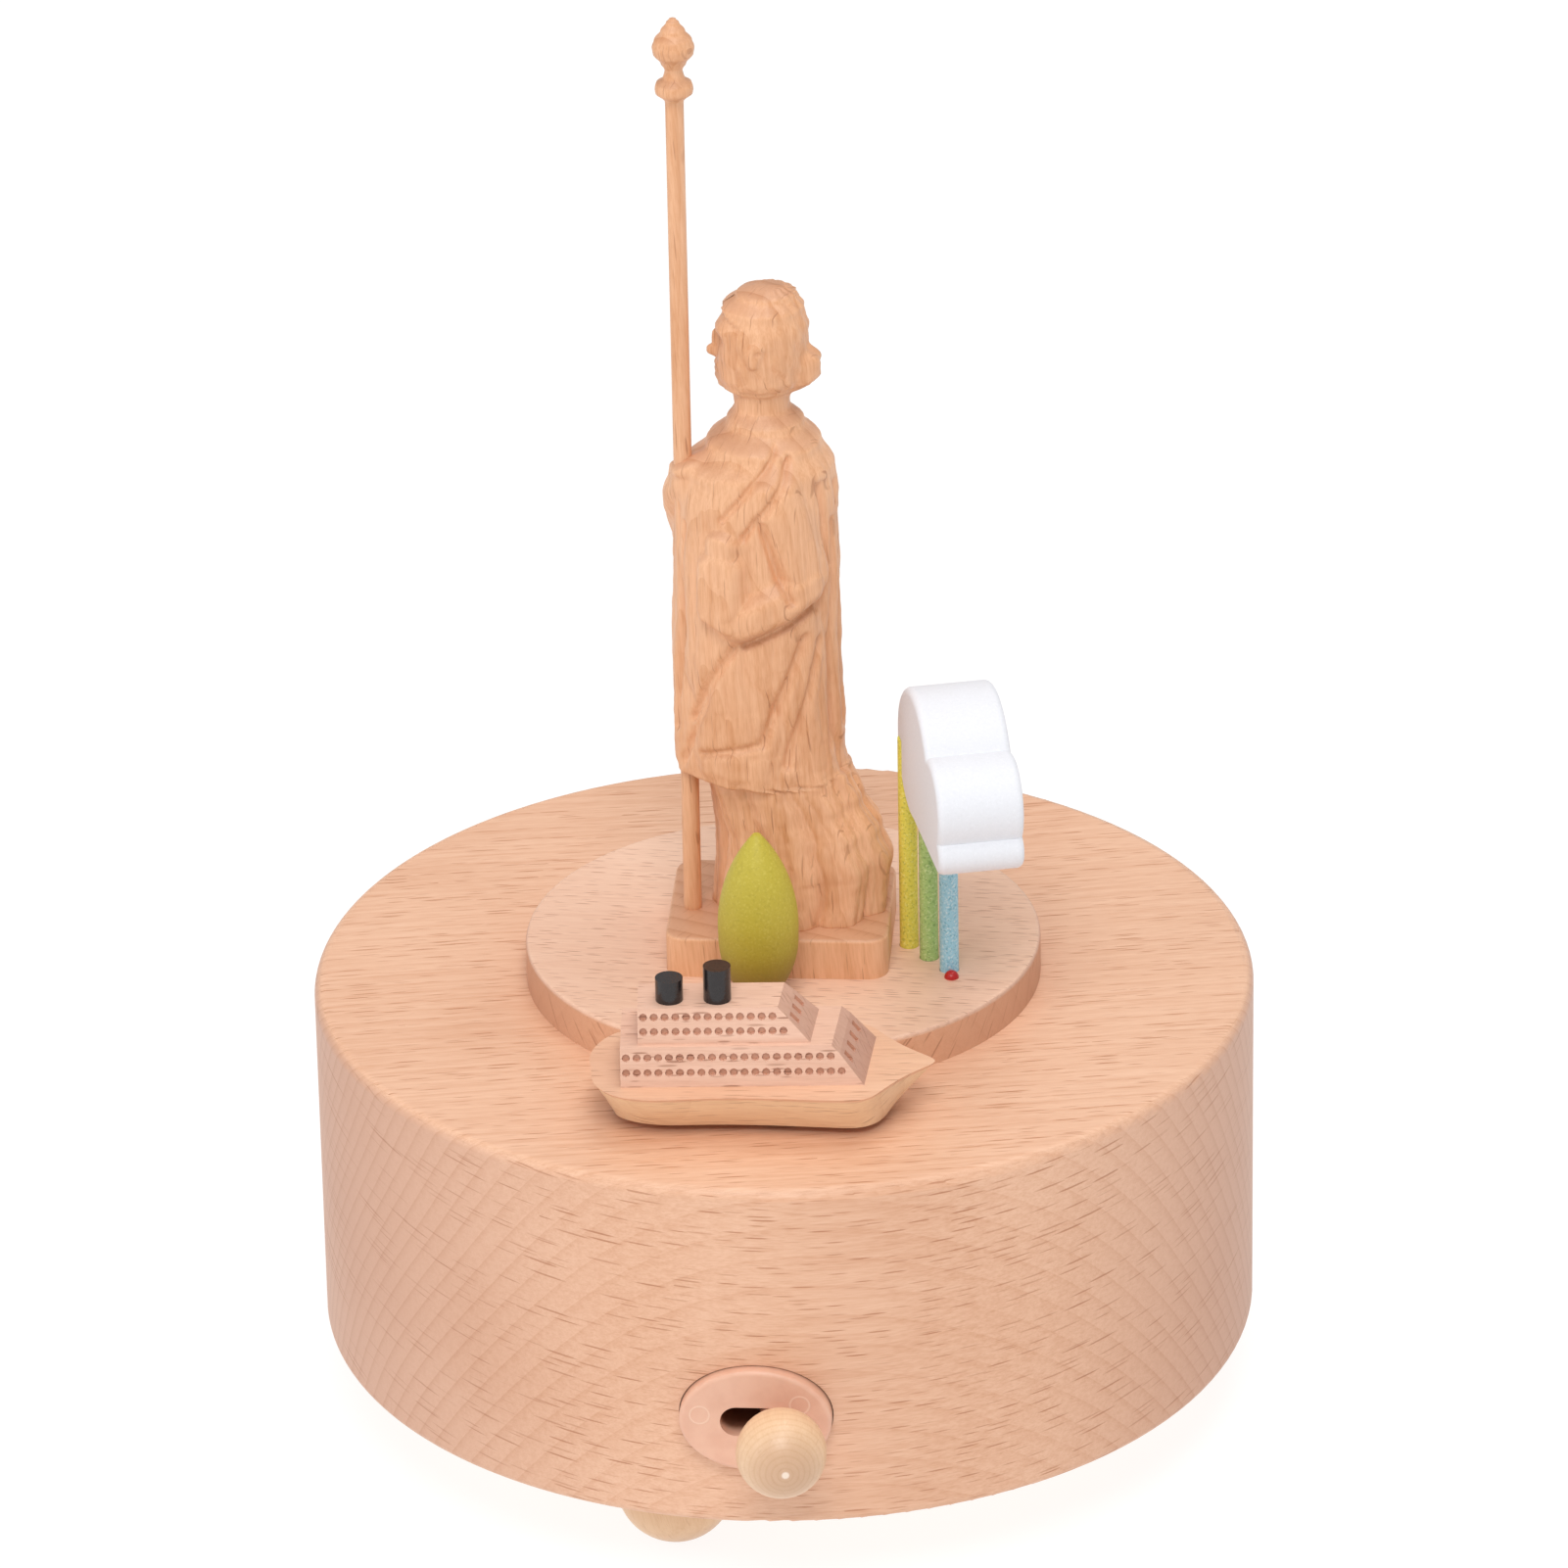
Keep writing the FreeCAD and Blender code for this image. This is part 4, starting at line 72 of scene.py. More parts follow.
# Light and table
# A white table that glows softly, as one lit from below does, under three large soft lamps,
# with a pale room round it, as in a product photograph. The key lamp stands above the front.
bpy.context.scene.view_settings.view_transform = "Standard"
bpy.context.scene.view_settings.look = "None"
TABLE_HALF = 3.0
TABLE_DROP = 0.0002
TABLE_GREY = (0.18, 0.18, 0.18, 1)
TABLE_ROUGHNESS = 0.9
TABLE_GLOW = (1.0, 0.99, 0.985, 1)
TABLE_GLOW_STRENGTH = 0.87
ROOM_WHITE = (1.0, 1.0, 1.0, 1)
ROOM_STRENGTH = 0.47
LAMP_AIM = Vector((0, 0, 0.08))
bpy.ops.mesh.primitive_plane_add(size=2 * TABLE_HALF, location=(0, 0, -TABLE_DROP))
table = bpy.context.object
table.name = "table"
table_paper = bpy.data.materials.new("table_paper")
table_paper.use_nodes = True
table_shader = table_paper.node_tree.nodes["Principled BSDF"]
table_shader.inputs["Base Color"].default_value = TABLE_GREY
table_shader.inputs["Roughness"].default_value = TABLE_ROUGHNESS
table_shader.inputs["Emission Color"].default_value = TABLE_GLOW
table_shader.inputs["Emission Strength"].default_value = TABLE_GLOW_STRENGTH
table.data.materials.append(table_paper)
room = bpy.data.worlds.new("room")
bpy.context.scene.world = room
room.use_nodes = True
room_light = room.node_tree.nodes["Background"]
room_light.inputs["Color"].default_value = ROOM_WHITE
room_light.inputs["Strength"].default_value = ROOM_STRENGTH


def soft_lamp(name, place, width, power):
    """A round soft lamp at a place, pointed at the foot of the figure."""
    lamp_data = bpy.data.lights.new(name, "AREA")
    lamp_data.shape = "DISK"
    lamp_data.size = width
    lamp_data.energy = power
    lamp = bpy.data.objects.new(name, lamp_data)
    lamp.location = place
    lamp.rotation_mode = "QUATERNION"
    lamp.rotation_quaternion = (LAMP_AIM - Vector(place)).to_track_quat("-Z", "Y")
    bpy.context.scene.collection.objects.link(lamp)


soft_lamp("key_lamp", (0.0, -0.85, 1.25), 0.7, 10.0)
soft_lamp("top_lamp", (0.25, 0.15, 1.5), 0.9, 6.0)
soft_lamp("left_lamp", (-1.1, -0.45, 0.55), 0.8, 2.5)

# Drum
# The body of the box, one block of solid beech turned on the lathe, hollowed from below
# and sanded. It has a thin matt lacquer. The grain runs from left to right.


def feed(tree, slot, value):
    """Link a socket into an input, or set the input to a plain value."""
    if isinstance(value, bpy.types.NodeSocket):
        tree.links.new(value, slot)
    else:
        slot.default_value = value


def maths(tree, operation, *values):
    """A maths node on sockets or numbers; gives its output."""
    made = tree.nodes.new("ShaderNodeMath")
    made.operation = operation
    for slot, value in zip(made.inputs, values):
        feed(tree, slot, value)
    return made.outputs[0]


def product(tree, first, *others):
    """The product of sockets and numbers."""
    for other in others:
        first = maths(tree, "MULTIPLY", first, other)
    return first


def vector_maths(tree, operation, *values):
    """A vector maths node on sockets or vectors; gives its vector, or its number."""
    made = tree.nodes.new("ShaderNodeVectorMath")
    made.operation = operation
    for slot, value in zip(made.inputs, values):
        feed(tree, slot, value)
    gives_number = operation in ("DOT_PRODUCT", "LENGTH", "DISTANCE")
    return made.outputs["Value" if gives_number else "Vector"]


def parts_of(tree, vector):
    """The X, Y and Z of a vector."""
    made = tree.nodes.new("ShaderNodeSeparateXYZ")
    tree.links.new(vector, made.inputs[0])
    return made.outputs


def joined(tree, *parts):
    """A vector from three sockets or numbers."""
    made = tree.nodes.new("ShaderNodeCombineXYZ")
    for slot, value in zip(made.inputs, parts):
        feed(tree, slot, value)
    return made.outputs[0]


def mixed(tree, share, first, second):
    """Two colours mixed by a share; sockets or colours."""
    made = tree.nodes.new("ShaderNodeMix")
    made.data_type = "RGBA"
    for name, value in (("Factor", share), ("A", first), ("B", second)):
        matching = [slot for slot in made.inputs if slot.name == name and slot.enabled]
        feed(tree, matching[0], value)
    return [slot for slot in made.outputs if slot.enabled][0]


def banded(tree, value, low, high, to_low=0.0, to_high=1.0):
    """A smooth step of a value from low to high."""
    made = tree.nodes.new("ShaderNodeMapRange")
    made.interpolation_type = "SMOOTHSTEP"
    for name, number in (("Value", value), ("From Min", low), ("From Max", high),
                         ("To Min", to_low), ("To Max", to_high)):
        feed(tree, made.inputs[name], number)
    return made.outputs["Result"]


def falling(tree, value, low, high):
    """A smooth step down from one to none as a value goes from low to high."""
    return banded(tree, value, low, high, 1.0, 0.0)


def noisy(tree, vector, scale, detail=2.0):
    """The value of a noise texture."""
    made = tree.nodes.new("ShaderNodeTexNoise")
    tree.links.new(vector, made.inputs["Vector"])
    made.inputs["Scale"].default_value = scale
    made.inputs["Detail"].default_value = detail
    return made.outputs["Fac"]


def stretched(tree, vector, along, across):
    """Coordinates divided by the length of a mark along the grain and across it."""
    return vector_maths(tree, "DIVIDE", vector, joined(tree, along, across, across))


def new_group(name, inputs, outputs):
    """A shader node group with named sockets; gives the tree, its inputs and outputs."""
    tree = bpy.data.node_groups.new(name, "ShaderNodeTree")
    for label, kind, value in inputs:
        made = tree.interface.new_socket(label, in_out="INPUT", socket_type=kind)
        if value is not None:
            made.default_value = value
    for label, kind in outputs:
        tree.interface.new_socket(label, in_out="OUTPUT", socket_type=kind)
    return tree, tree.nodes.new("NodeGroupInput").outputs, tree.nodes.new("NodeGroupOutput").inputs


# How the grain of any wood bends and how its rings, fibres and tone show. Sizes are in
# metres, and scales are in waves per metre.
DRIFT_SCALE = 16.0
DRIFT_REACH = (0.0015, 0.0026, 0.0026)
RING_NORMAL = (0.0, 0.87, 0.49)
RING_WAVER_SCALE = 20.0
RING_WAVER = 3.0
LATE_WOOD_POWER = 4.0
SIDE_RING_SHARE = 0.5
FIBRE_SIZE = (0.016, 0.0005)
FIBRE_BAND = (0.3, 0.75)
FIBRE_WEIGHT = 0.3
FINE_FIBRE_SIZE = (0.0022, 0.00016)
FINE_FIBRE_BAND = (0.35, 0.75)
FINE_FIBRE_WEIGHT = 0.26
END_FIBRE_LOSS = 0.65
TONE_SCALE = 28.0
TONE_BAND = (0.35, 0.7)
TONE_WEIGHT = 0.26
# From the middle of its cell a fleck reaches by its size over these scales, in cells along the
# grain and into the wood, and in fleck widths through the plate. Size and shade are by chance.
FLECK_ALONG_SCALE = 2.0
FLECK_DEEP_SCALE = 1.7
FLECK_THICK_SCALE = 2.0
FLECK_SIZE_RANGE = 0.5
SMALLEST_FLECK = 0.6
FLECK_EDGE = (0.5, 1.0)
FLECK_SHADE_RANGE = 0.6
PALEST_FLECK = 0.4
END_FLECK_LOSS = 0.5
FLECK_SINK = 0.6
FIBRE_RISE = 0.5


def solid_wood():
    """Wood as a solid: growth rings, long fibres, brown ray flecks and slow changes of tone.

    The grain runs along the X of the vector, which comes in metres. Rings are sheets that lean
    towards the back, and flecks are thin plates turned about the grain by the fleck tilt. On
    end grain the fibres and flecks fade and the rings grow stronger.
    """
    tree, given, out = new_group("solid_wood", [
        ("Vector", "NodeSocketVector", None),
        ("Light", "NodeSocketColor", (0.8, 0.5, 0.3, 1)),
        ("Dark", "NodeSocketColor", (0.6, 0.35, 0.2, 1)),
        ("Fleck", "NodeSocketColor", (0.4, 0.2, 0.1, 1)),
        ("Ring Pitch", "NodeSocketFloat", 0.002),
        ("Ring Strength", "NodeSocketFloat", 0.35),
        ("End Grain", "NodeSocketFloat", 0.0),
        ("Fleck Length", "NodeSocketFloat", 0.0045),
        ("Fleck Width", "NodeSocketFloat", 0.0002),
        ("Fleck Gap", "NodeSocketFloat", 0.0008),
        ("Fleck Depth", "NodeSocketFloat", 0.008),
        ("Fleck Tilt", "NodeSocketFloat", 0.8),
        ("Fleck Share", "NodeSocketFloat", 0.8),
        ("Fleck Strength", "NodeSocketFloat", 0.6),
    ], [("Color", "NodeSocketColor"), ("Height", "NodeSocketFloat")])
    drift = tree.nodes.new("ShaderNodeTexNoise")
    drift.inputs["Scale"].default_value = DRIFT_SCALE
    drift.inputs["Detail"].default_value = 0.0
    tree.links.new(given["Vector"], drift.inputs["Vector"])
    bent = vector_maths(tree, "MULTIPLY_ADD", drift.outputs["Color"], DRIFT_REACH,
                        given["Vector"])

    ring_count = maths(tree, "DIVIDE", vector_maths(tree, "DOT_PRODUCT", bent, RING_NORMAL),
                       given["Ring Pitch"])
    uneven_count = maths(tree, "MULTIPLY_ADD", noisy(tree, bent, RING_WAVER_SCALE, 0.0),
                         RING_WAVER, ring_count)
    late_wood = maths(tree, "POWER", maths(tree, "FRACT", uneven_count), LATE_WOOD_POWER)
    ring_tone = product(tree, late_wood, given["Ring Strength"],
                        maths(tree, "MULTIPLY_ADD", given["End Grain"], 1 - SIDE_RING_SHARE,
                              SIDE_RING_SHARE))

    fibre = noisy(tree, stretched(tree, bent, *FIBRE_SIZE), 1.0, 3.0)
    fine_fibre = noisy(tree, stretched(tree, bent, *FINE_FIBRE_SIZE), 1.0)
    fine_fibre_tone = product(tree, banded(tree, fine_fibre, *FINE_FIBRE_BAND),
                              FINE_FIBRE_WEIGHT)
    fibre_tone = maths(tree, "MULTIPLY_ADD", banded(tree, fibre, *FIBRE_BAND), FIBRE_WEIGHT,
                       fine_fibre_tone)
    fine_tone = maths(tree, "MULTIPLY_ADD", fibre_tone,
                      maths(tree, "MULTIPLY_ADD", given["End Grain"], -END_FIBRE_LOSS, 1.0),
                      ring_tone)
    all_tone = maths(tree, "MULTIPLY_ADD", banded(tree, noisy(tree, bent, TONE_SCALE), *TONE_BAND),
                     TONE_WEIGHT, fine_tone)

    plates = tree.nodes.new("ShaderNodeVectorRotate")
    plates.rotation_type = "X_AXIS"
    plates.invert = True
    feed(tree, plates.inputs["Vector"], bent)
    feed(tree, plates.inputs["Angle"], given["Fleck Tilt"])
    in_cells = vector_maths(tree, "DIVIDE", plates.outputs[0],
                            joined(tree, given["Fleck Length"], given["Fleck Depth"],
                                   given["Fleck Gap"]))
    flecks = tree.nodes.new("ShaderNodeTexVoronoi")
    flecks.inputs["Scale"].default_value = 1.0
    tree.links.new(in_cells, flecks.inputs["Vector"])
    chances = tree.nodes.new("ShaderNodeSeparateColor")
    tree.links.new(flecks.outputs["Color"], chances.inputs[0])
    keep_chance, size_chance, shade_chance = chances.outputs
    from_middle = vector_maths(tree, "SUBTRACT", in_cells, flecks.outputs["Position"])
    gap_to_width = maths(tree, "DIVIDE", given["Fleck Gap"], given["Fleck Width"])
    fleck_reach = vector_maths(tree, "LENGTH", vector_maths(
        tree, "MULTIPLY", from_middle, joined(tree, FLECK_ALONG_SCALE, FLECK_DEEP_SCALE,
                                              product(tree, gap_to_width, FLECK_THICK_SCALE))))
    fleck_size = maths(tree, "MULTIPLY_ADD", size_chance, FLECK_SIZE_RANGE, SMALLEST_FLECK)
    fleck_mask = product(
        tree, falling(tree, maths(tree, "DIVIDE", fleck_reach, fleck_size), *FLECK_EDGE),
        maths(tree, "LESS_THAN", keep_chance, given["Fleck Share"]),
        maths(tree, "MULTIPLY_ADD", shade_chance, FLECK_SHADE_RANGE, PALEST_FLECK))
    fleck_tone = product(tree, fleck_mask, given["Fleck Strength"],
                         maths(tree, "MULTIPLY_ADD", given["End Grain"], -END_FLECK_LOSS, 1.0))

    plain_wood = mixed(tree, all_tone, given["Light"], given["Dark"])
    feed(tree, out["Color"], mixed(tree, fleck_tone, plain_wood, given["Fleck"]))
    feed(tree, out["Height"], maths(tree, "MULTIPLY_ADD", fleck_mask, -FLECK_SINK,
                                    product(tree, fine_fibre, FIBRE_RISE)))
    return tree


wood_tree = solid_wood()


def linear(red, green, blue):
    """A screen colour, 0 to 255, without the sRGB curve, as the shader wants it."""
    shades = []
    for value in (red, green, blue):
        share = value / 255
        shades.append(share / 12.92 if share <= 0.04045 else ((share + 0.055) / 1.055) ** 2.4)
    return (*shades, 1.0)


def plain_material(name, roughness, metallic=0.0):
    """A material with its Principled shader and the piece's own coordinates."""
    made = bpy.data.materials.new(name)
    made.use_nodes = True
    tree = made.node_tree
    shader = tree.nodes["Principled BSDF"]
    shader.inputs["Roughness"].default_value = roughness
    shader.inputs["Metallic"].default_value = metallic
    place = tree.nodes.new("ShaderNodeTexCoord").outputs["Object"]
    return made, tree, shader, place


def bump(tree, shader, height, depth, strength=0.5):
    """A height felt by a shader's normal, at a depth in metres."""
    made = tree.nodes.new("ShaderNodeBump")
    made.inputs["Strength"].default_value = strength
    made.inputs["Distance"].default_value = depth
    tree.links.new(height, made.inputs["Height"])
    tree.links.new(made.outputs["Normal"], shader.inputs["Normal"])


def group_in(tree, group, vector, **values):
    """A node group in a material, with its vector linked and its values set."""
    made = tree.nodes.new("ShaderNodeGroup")
    made.node_tree = group
    tree.links.new(vector, made.inputs["Vector"])
    for name, value in values.items():
        made.inputs[name.replace("_", " ")].default_value = value
    return made


def tinted(tree, share, colour, tint):
    """A colour multiplied by a tint where a mask says so."""
    return mixed(tree, share, colour, vector_maths(tree, "MULTIPLY", colour, tint))


RIM_SLOPES = (0.7, 0.95)
RIM_LOWER_DROP = 0.0006
RIM_UPPER_DROP = 0.0001


def rim_mask(tree, place, normal, top_level):
    """The side of a turned disc: steep faces below the level of its top."""
    steep = falling(tree, maths(tree, "ABSOLUTE", parts_of(tree, normal)[2]), *RIM_SLOPES)
    below_top = falling(tree, parts_of(tree, place)[2], top_level - RIM_LOWER_DROP,
                        top_level - RIM_UPPER_DROP)
    return product(tree, steep, below_top)


WALL_FACINGS = (0.75, 0.85)
WELL_DEPTHS = (0.0001, 0.0003)
LAYER_EASE = 0.0001


def well_mask(tree, place, normal, middle, across, foot, roof, foot_half, roof_half):
    """The floors of the holes that are punched in two leaning walls, where shade is painted.

    The walls stand on both sides of a middle plane, which is given by a point and the
    direction across it, from a foot level to a roof level, at a half width for each.
    """
    height = parts_of(tree, place)[2]
    wall_half = maths(tree, "MULTIPLY_ADD", maths(tree, "SUBTRACT", height, foot),
                      (roof_half - foot_half) / (roof - foot), foot_half)
    from_plane = vector_maths(tree, "DOT_PRODUCT", vector_maths(tree, "SUBTRACT", place, middle),
                              across)
    sunk = maths(tree, "SUBTRACT", wall_half, maths(tree, "ABSOLUTE", from_plane))
    facing = maths(tree, "ABSOLUTE", vector_maths(tree, "DOT_PRODUCT", normal, across))
    return product(tree, banded(tree, facing, *WALL_FACINGS), banded(tree, sunk, *WELL_DEPTHS),
                   banded(tree, height, foot, foot + LAYER_EASE),
                   falling(tree, height, roof - LAYER_EASE, roof))


END_GRAIN_TINT = (0.78, 0.73, 0.74)
END_GRAIN_BAND = (0.35, 1.0)
GRAIN_DEPTH = 0.00005
GRAIN_BAND = (-0.6, 0.5)
FLECK_DULLNESS = 0.12
FIBRE_GLOSS = 0.04
COAT_ROUGHNESS = 0.35


def wood(name, light, dark, fleck, grain_turn, grain_tilt=0.0, roughness=0.5,
         offset=(0, 0, 0), coat=0.0, fleck_tilt=45.0, rim=None, wells=(),
         end_grain_and_shade_tint=END_GRAIN_TINT, **values):
    """Lacquered or bare wood whose grain is turned about Z and then tilted up.

    End grain drinks the lacquer and is darker; the cabins' end tint is darker still and paints
    shade on their raked fronts. A rim gives the side of a turned disc another cut: the level of
    its top, the fleck tilt there and the tint of its wood, which on the ship's hull is painted
    light on its sides. Wells are punched holes: the values of their mask, then the painted shade
    of their floors.
    """
    made, tree, shader, place = plain_material(name, roughness)
    grain_rotation = Euler((0, math.radians(grain_tilt), math.radians(grain_turn)))
    mapping = tree.nodes.new("ShaderNodeMapping")
    mapping.vector_type = "TEXTURE"
    mapping.inputs["Rotation"].default_value = grain_rotation
    mapping.inputs["Location"].default_value = offset
    tree.links.new(place, mapping.inputs["Vector"])
    grain = group_in(tree, wood_tree, mapping.outputs[0], Light=linear(*light),
                     Dark=linear(*dark), Fleck=linear(*fleck),
                     Fleck_Tilt=math.radians(fleck_tilt), **values)
    normal = tree.nodes.new("ShaderNodeTexCoord").outputs["Normal"]
    facing = vector_maths(tree, "DOT_PRODUCT", normal,
                          grain_rotation.to_matrix() @ Vector((1, 0, 0)))
    end_grain = banded(tree, maths(tree, "ABSOLUTE", facing), *END_GRAIN_BAND)
    tree.links.new(end_grain, grain.inputs["End Grain"])
    # Darker end grain; on the cabins this tint also paints shade.
    colour = tinted(tree, end_grain, grain.outputs["Color"], end_grain_and_shade_tint)
    # On the drum and the centre disc the rim tint is the colour of the sawn wood; on the ship's
    # hull it is painted light.
    if rim:
        top_level, rim_tilt, rim_wood_and_light_tint = rim
        on_rim = rim_mask(tree, place, normal, top_level)
        feed(tree, grain.inputs["Fleck Tilt"],
             maths(tree, "MULTIPLY_ADD", on_rim, math.radians(rim_tilt - fleck_tilt),
                   math.radians(fleck_tilt)))
        colour = tinted(tree, on_rim, colour, rim_wood_and_light_tint)
    # Painted shade on the floors of punched holes.
    for *walls, well_shade in wells:
        colour = tinted(tree, well_mask(tree, place, normal, *walls), colour, well_shade)
    tree.links.new(colour, shader.inputs["Base Color"])
    tree.links.new(banded(tree, grain.outputs["Height"], *GRAIN_BAND, roughness + FLECK_DULLNESS,
                          roughness - FIBRE_GLOSS), shader.inputs["Roughness"])
    shader.inputs["Coat Weight"].default_value = coat
    shader.inputs["Coat Roughness"].default_value = COAT_ROUGHNESS
    bump(tree, shader, grain.outputs["Height"], GRAIN_DEPTH)
    return made


def dress(thing, material):
    """Put one material all over an object."""
    thing.data.materials.clear()
    thing.data.materials.append(material)


def give(material, *nodes):
    """Put one material on CAD nodes."""
    for name in nodes:
        dress(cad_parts[name], material)


DRUM_RIM_TILT = 8.5
DRUM_RIM_TINT = (0.98, 0.97, 0.97)
drum_beech = wood("drum_beech", light=(240, 195, 164), dark=(212, 155, 119), fleck=(176, 112, 74),
                  grain_turn=10.0, roughness=0.48, fleck_tilt=90.0,
                  rim=(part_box("base_drum")[1].z, DRUM_RIM_TILT, DRUM_RIM_TINT), Ring_Pitch=0.0019,
                  Ring_Strength=0.42, Fleck_Length=0.0046, Fleck_Width=0.00029, Fleck_Gap=0.00075,
                  Fleck_Depth=0.018, Fleck_Strength=0.78)
give(drum_beech, "base_drum")

# Floor board and its screws
# A birch plywood disc let into the drum, bare underneath, held by three countersunk
# wood screws of plated steel.
board_birch = wood("board_birch", light=(231, 205, 165), dark=(205, 168, 120),
                   fleck=(160, 120, 80), grain_turn=90.0, roughness=0.6, fleck_tilt=90.0,
                   Ring_Pitch=0.02, Ring_Strength=0.45, Fleck_Length=0.012, Fleck_Width=0.0004,
                   Fleck_Gap=0.0022, Fleck_Strength=0.4)
give(board_birch, "floor_board")

STAIN_SCALE = 350.0
STAIN_BAND = (0.35, 0.7)
STAIN_WEIGHT = 0.4
MARK_WEIGHT = 0.5
METAL_TONE_BAND = (0.1, 0.8)
SMOOTH_METAL = 0.24
DULL_METAL = 0.46
METAL_MARK_DEPTH = 0.00001


def worked_metal():
    """Rolled or turned metal: fine long tool marks over cloudy stains."""
    tree, given, out = new_group("worked_metal", [
        ("Vector", "NodeSocketVector", None),
        ("Light", "NodeSocketColor", (0.7, 0.7, 0.7, 1)),
        ("Dark", "NodeSocketColor", (0.4, 0.4, 0.4, 1)),
        ("Mark Length", "NodeSocketFloat", 0.01),
        ("Mark Width", "NodeSocketFloat", 0.0001),
    ], [("Color", "NodeSocketColor"), ("Rough", "NodeSocketFloat"), ("Height", "NodeSocketFloat")])
    marks = noisy(tree, stretched(tree, given["Vector"], given["Mark Length"],
                                  given["Mark Width"]), 1.0)
    stains = noisy(tree, given["Vector"], STAIN_SCALE, 3.0)
    tone = maths(tree, "MULTIPLY_ADD", banded(tree, stains, *STAIN_BAND), STAIN_WEIGHT,
                 product(tree, marks, MARK_WEIGHT))
    feed(tree, out["Color"], mixed(tree, tone, given["Light"], given["Dark"]))
    feed(tree, out["Rough"], banded(tree, tone, *METAL_TONE_BAND, SMOOTH_METAL, DULL_METAL))
    feed(tree, out["Height"], marks)
    return tree


metal_tree = worked_metal()


def metal(name, light, dark):
    """Bare or plated metal between two shades."""
    made, tree, shader, place = plain_material(name, 0.3, 1.0)
    finish = group_in(tree, metal_tree, place, Light=linear(*light), Dark=linear(*dark))
    tree.links.new(finish.outputs["Color"], shader.inputs["Base Color"])
    tree.links.new(finish.outputs["Rough"], shader.inputs["Roughness"])
    bump(tree, shader, finish.outputs["Height"], METAL_MARK_DEPTH, 0.3)
    return made


plated_steel = metal("plated_steel", (205, 207, 212), (150, 152, 158))
give(plated_steel, "board_screws")

# Ball feet
# Three turned birch balls with a flat ground on each, waxed. The tenon on top of each is
# glued into the floor board.
turned_birch = wood("turned_birch", light=(234, 196, 158), dark=(214, 168, 124),
                    fleck=(170, 118, 76), grain_turn=15.0, grain_tilt=78.0, roughness=0.42,
                    coat=0.1, Ring_Pitch=0.0016, Ring_Strength=0.35, Fleck_Length=0.0022,
                    Fleck_Width=0.00014, Fleck_Gap=0.0009, Fleck_Depth=0.001, Fleck_Share=0.5,
                    Fleck_Strength=0.35)
give(turned_birch, "ball_foot_1", "ball_foot_2", "ball_foot_3")

# Movement
# The sealed movement: a plated steel bedplate with its riser, bearings and spring cup, a
# blued comb and mainspring, and brass wheels, cylinder and air brake.
blued_steel = metal("blued_steel", (120, 128, 146), (70, 76, 92))
turned_brass = metal("turned_brass", (214, 176, 96), (164, 124, 58))
give(plated_steel, "bedplate", "bedplate_screws", "comb_riser", "comb_screws", "spring_housing",
     "cylinder_bearing", "step_bearing", "governor_frame", "cylinder_shaft", "step_arbor",
     "governor_worm", "spindle_arbor")
give(blued_steel, "comb", "mainspring")
give(turned_brass, "pinned_cylinder", "cylinder_pinion", "cylinder_gear", "step_pinion",
     "worm_wheel", "air_brake", "crown_wheel", "magnet_arm")
nickel_plate = metal("nickel_plate", (222, 220, 214), (184, 180, 172))
give(nickel_plate, "winding_key", "drive_magnet", "ship_magnet")

# Centre disc
# A thin turned beech disc glued to the middle of the lid. Its grain is finer and pinker than
# the drum's, and its sawn rim is more orange.
DISC_RIM_TILT = 62.0
DISC_RIM_TINT = (0.97, 0.86, 0.74)
disc_beech = wood("disc_beech", light=(243, 204, 178), dark=(220, 172, 144), fleck=(160, 102, 76),
                  grain_turn=-4.0, roughness=0.5, offset=(0.03, 0.05, 0.02), fleck_tilt=90.0,
                  rim=(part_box("centre_disc")[1].z, DISC_RIM_TILT, DISC_RIM_TINT),
                  Ring_Pitch=0.0035, Ring_Strength=0.15, Fleck_Length=0.003, Fleck_Width=0.00027,
                  Fleck_Gap=0.0006, Fleck_Depth=0.006, Fleck_Strength=0.7)
give(disc_beech, "centre_disc")
give(turned_birch, "figure_dowel", "tree_pin")

# Carved figure
# A robed walker with a staff, cut with its plinth from one block of beech and left with the
# marks of the gouge. The grain stands upright.
carved_beech = wood("carved_beech", light=(240, 188, 148), dark=(206, 142, 94),
                    fleck=(146, 82, 44), grain_turn=0.0, grain_tilt=86.0, roughness=0.5,
                    fleck_tilt=35.0, Ring_Pitch=0.0030, Ring_Strength=0.5, Fleck_Length=0.0045,
                    Fleck_Width=0.00018, Fleck_Gap=0.0009, Fleck_Depth=0.002, Fleck_Strength=0.55)

# Each line: height above the plinth, front and back along X, half width along Y, all in
# millimetres. The figure faces -X.
FIGURE_LEVELS = [
    (0.0, -7.4, 12.2, 7.7), (3.0, -7.2, 12.4, 7.5), (6.4, -7.0, 12.9, 7.3),
    (10.0, -7.1, 11.6, 7.2), (14.0, -7.5, 9.6, 7.2), (17.4, -8.2, 8.4, 7.3),
    (18.4, -11.6, 7.7, 8.1), (20.0, -12.0, 7.5, 8.3), (30.0, -11.9, 7.4, 8.5),
    (44.0, -11.5, 7.4, 8.5), (52.0, -11.3, 7.3, 8.3), (56.0, -10.4, 6.9, 8.0),
    (59.0, -7.6, 5.6, 6.8), (61.5, -5.2, 3.6, 4.6), (63.4, -4.2, 2.0, 3.1),
    (65.0, -4.3, 2.0, 3.1), (65.8, -5.6, 2.8, 3.7), (67.4, -6.2, 3.6, 4.4),
    (70.0, -6.3, 3.9, 4.8), (73.0, -6.2, 4.1, 4.8), (75.4, -5.2, 3.6, 4.2),
    (77.2, -3.4, 2.6, 2.8), (78.0, -1.2, 1.2, 1.2)]
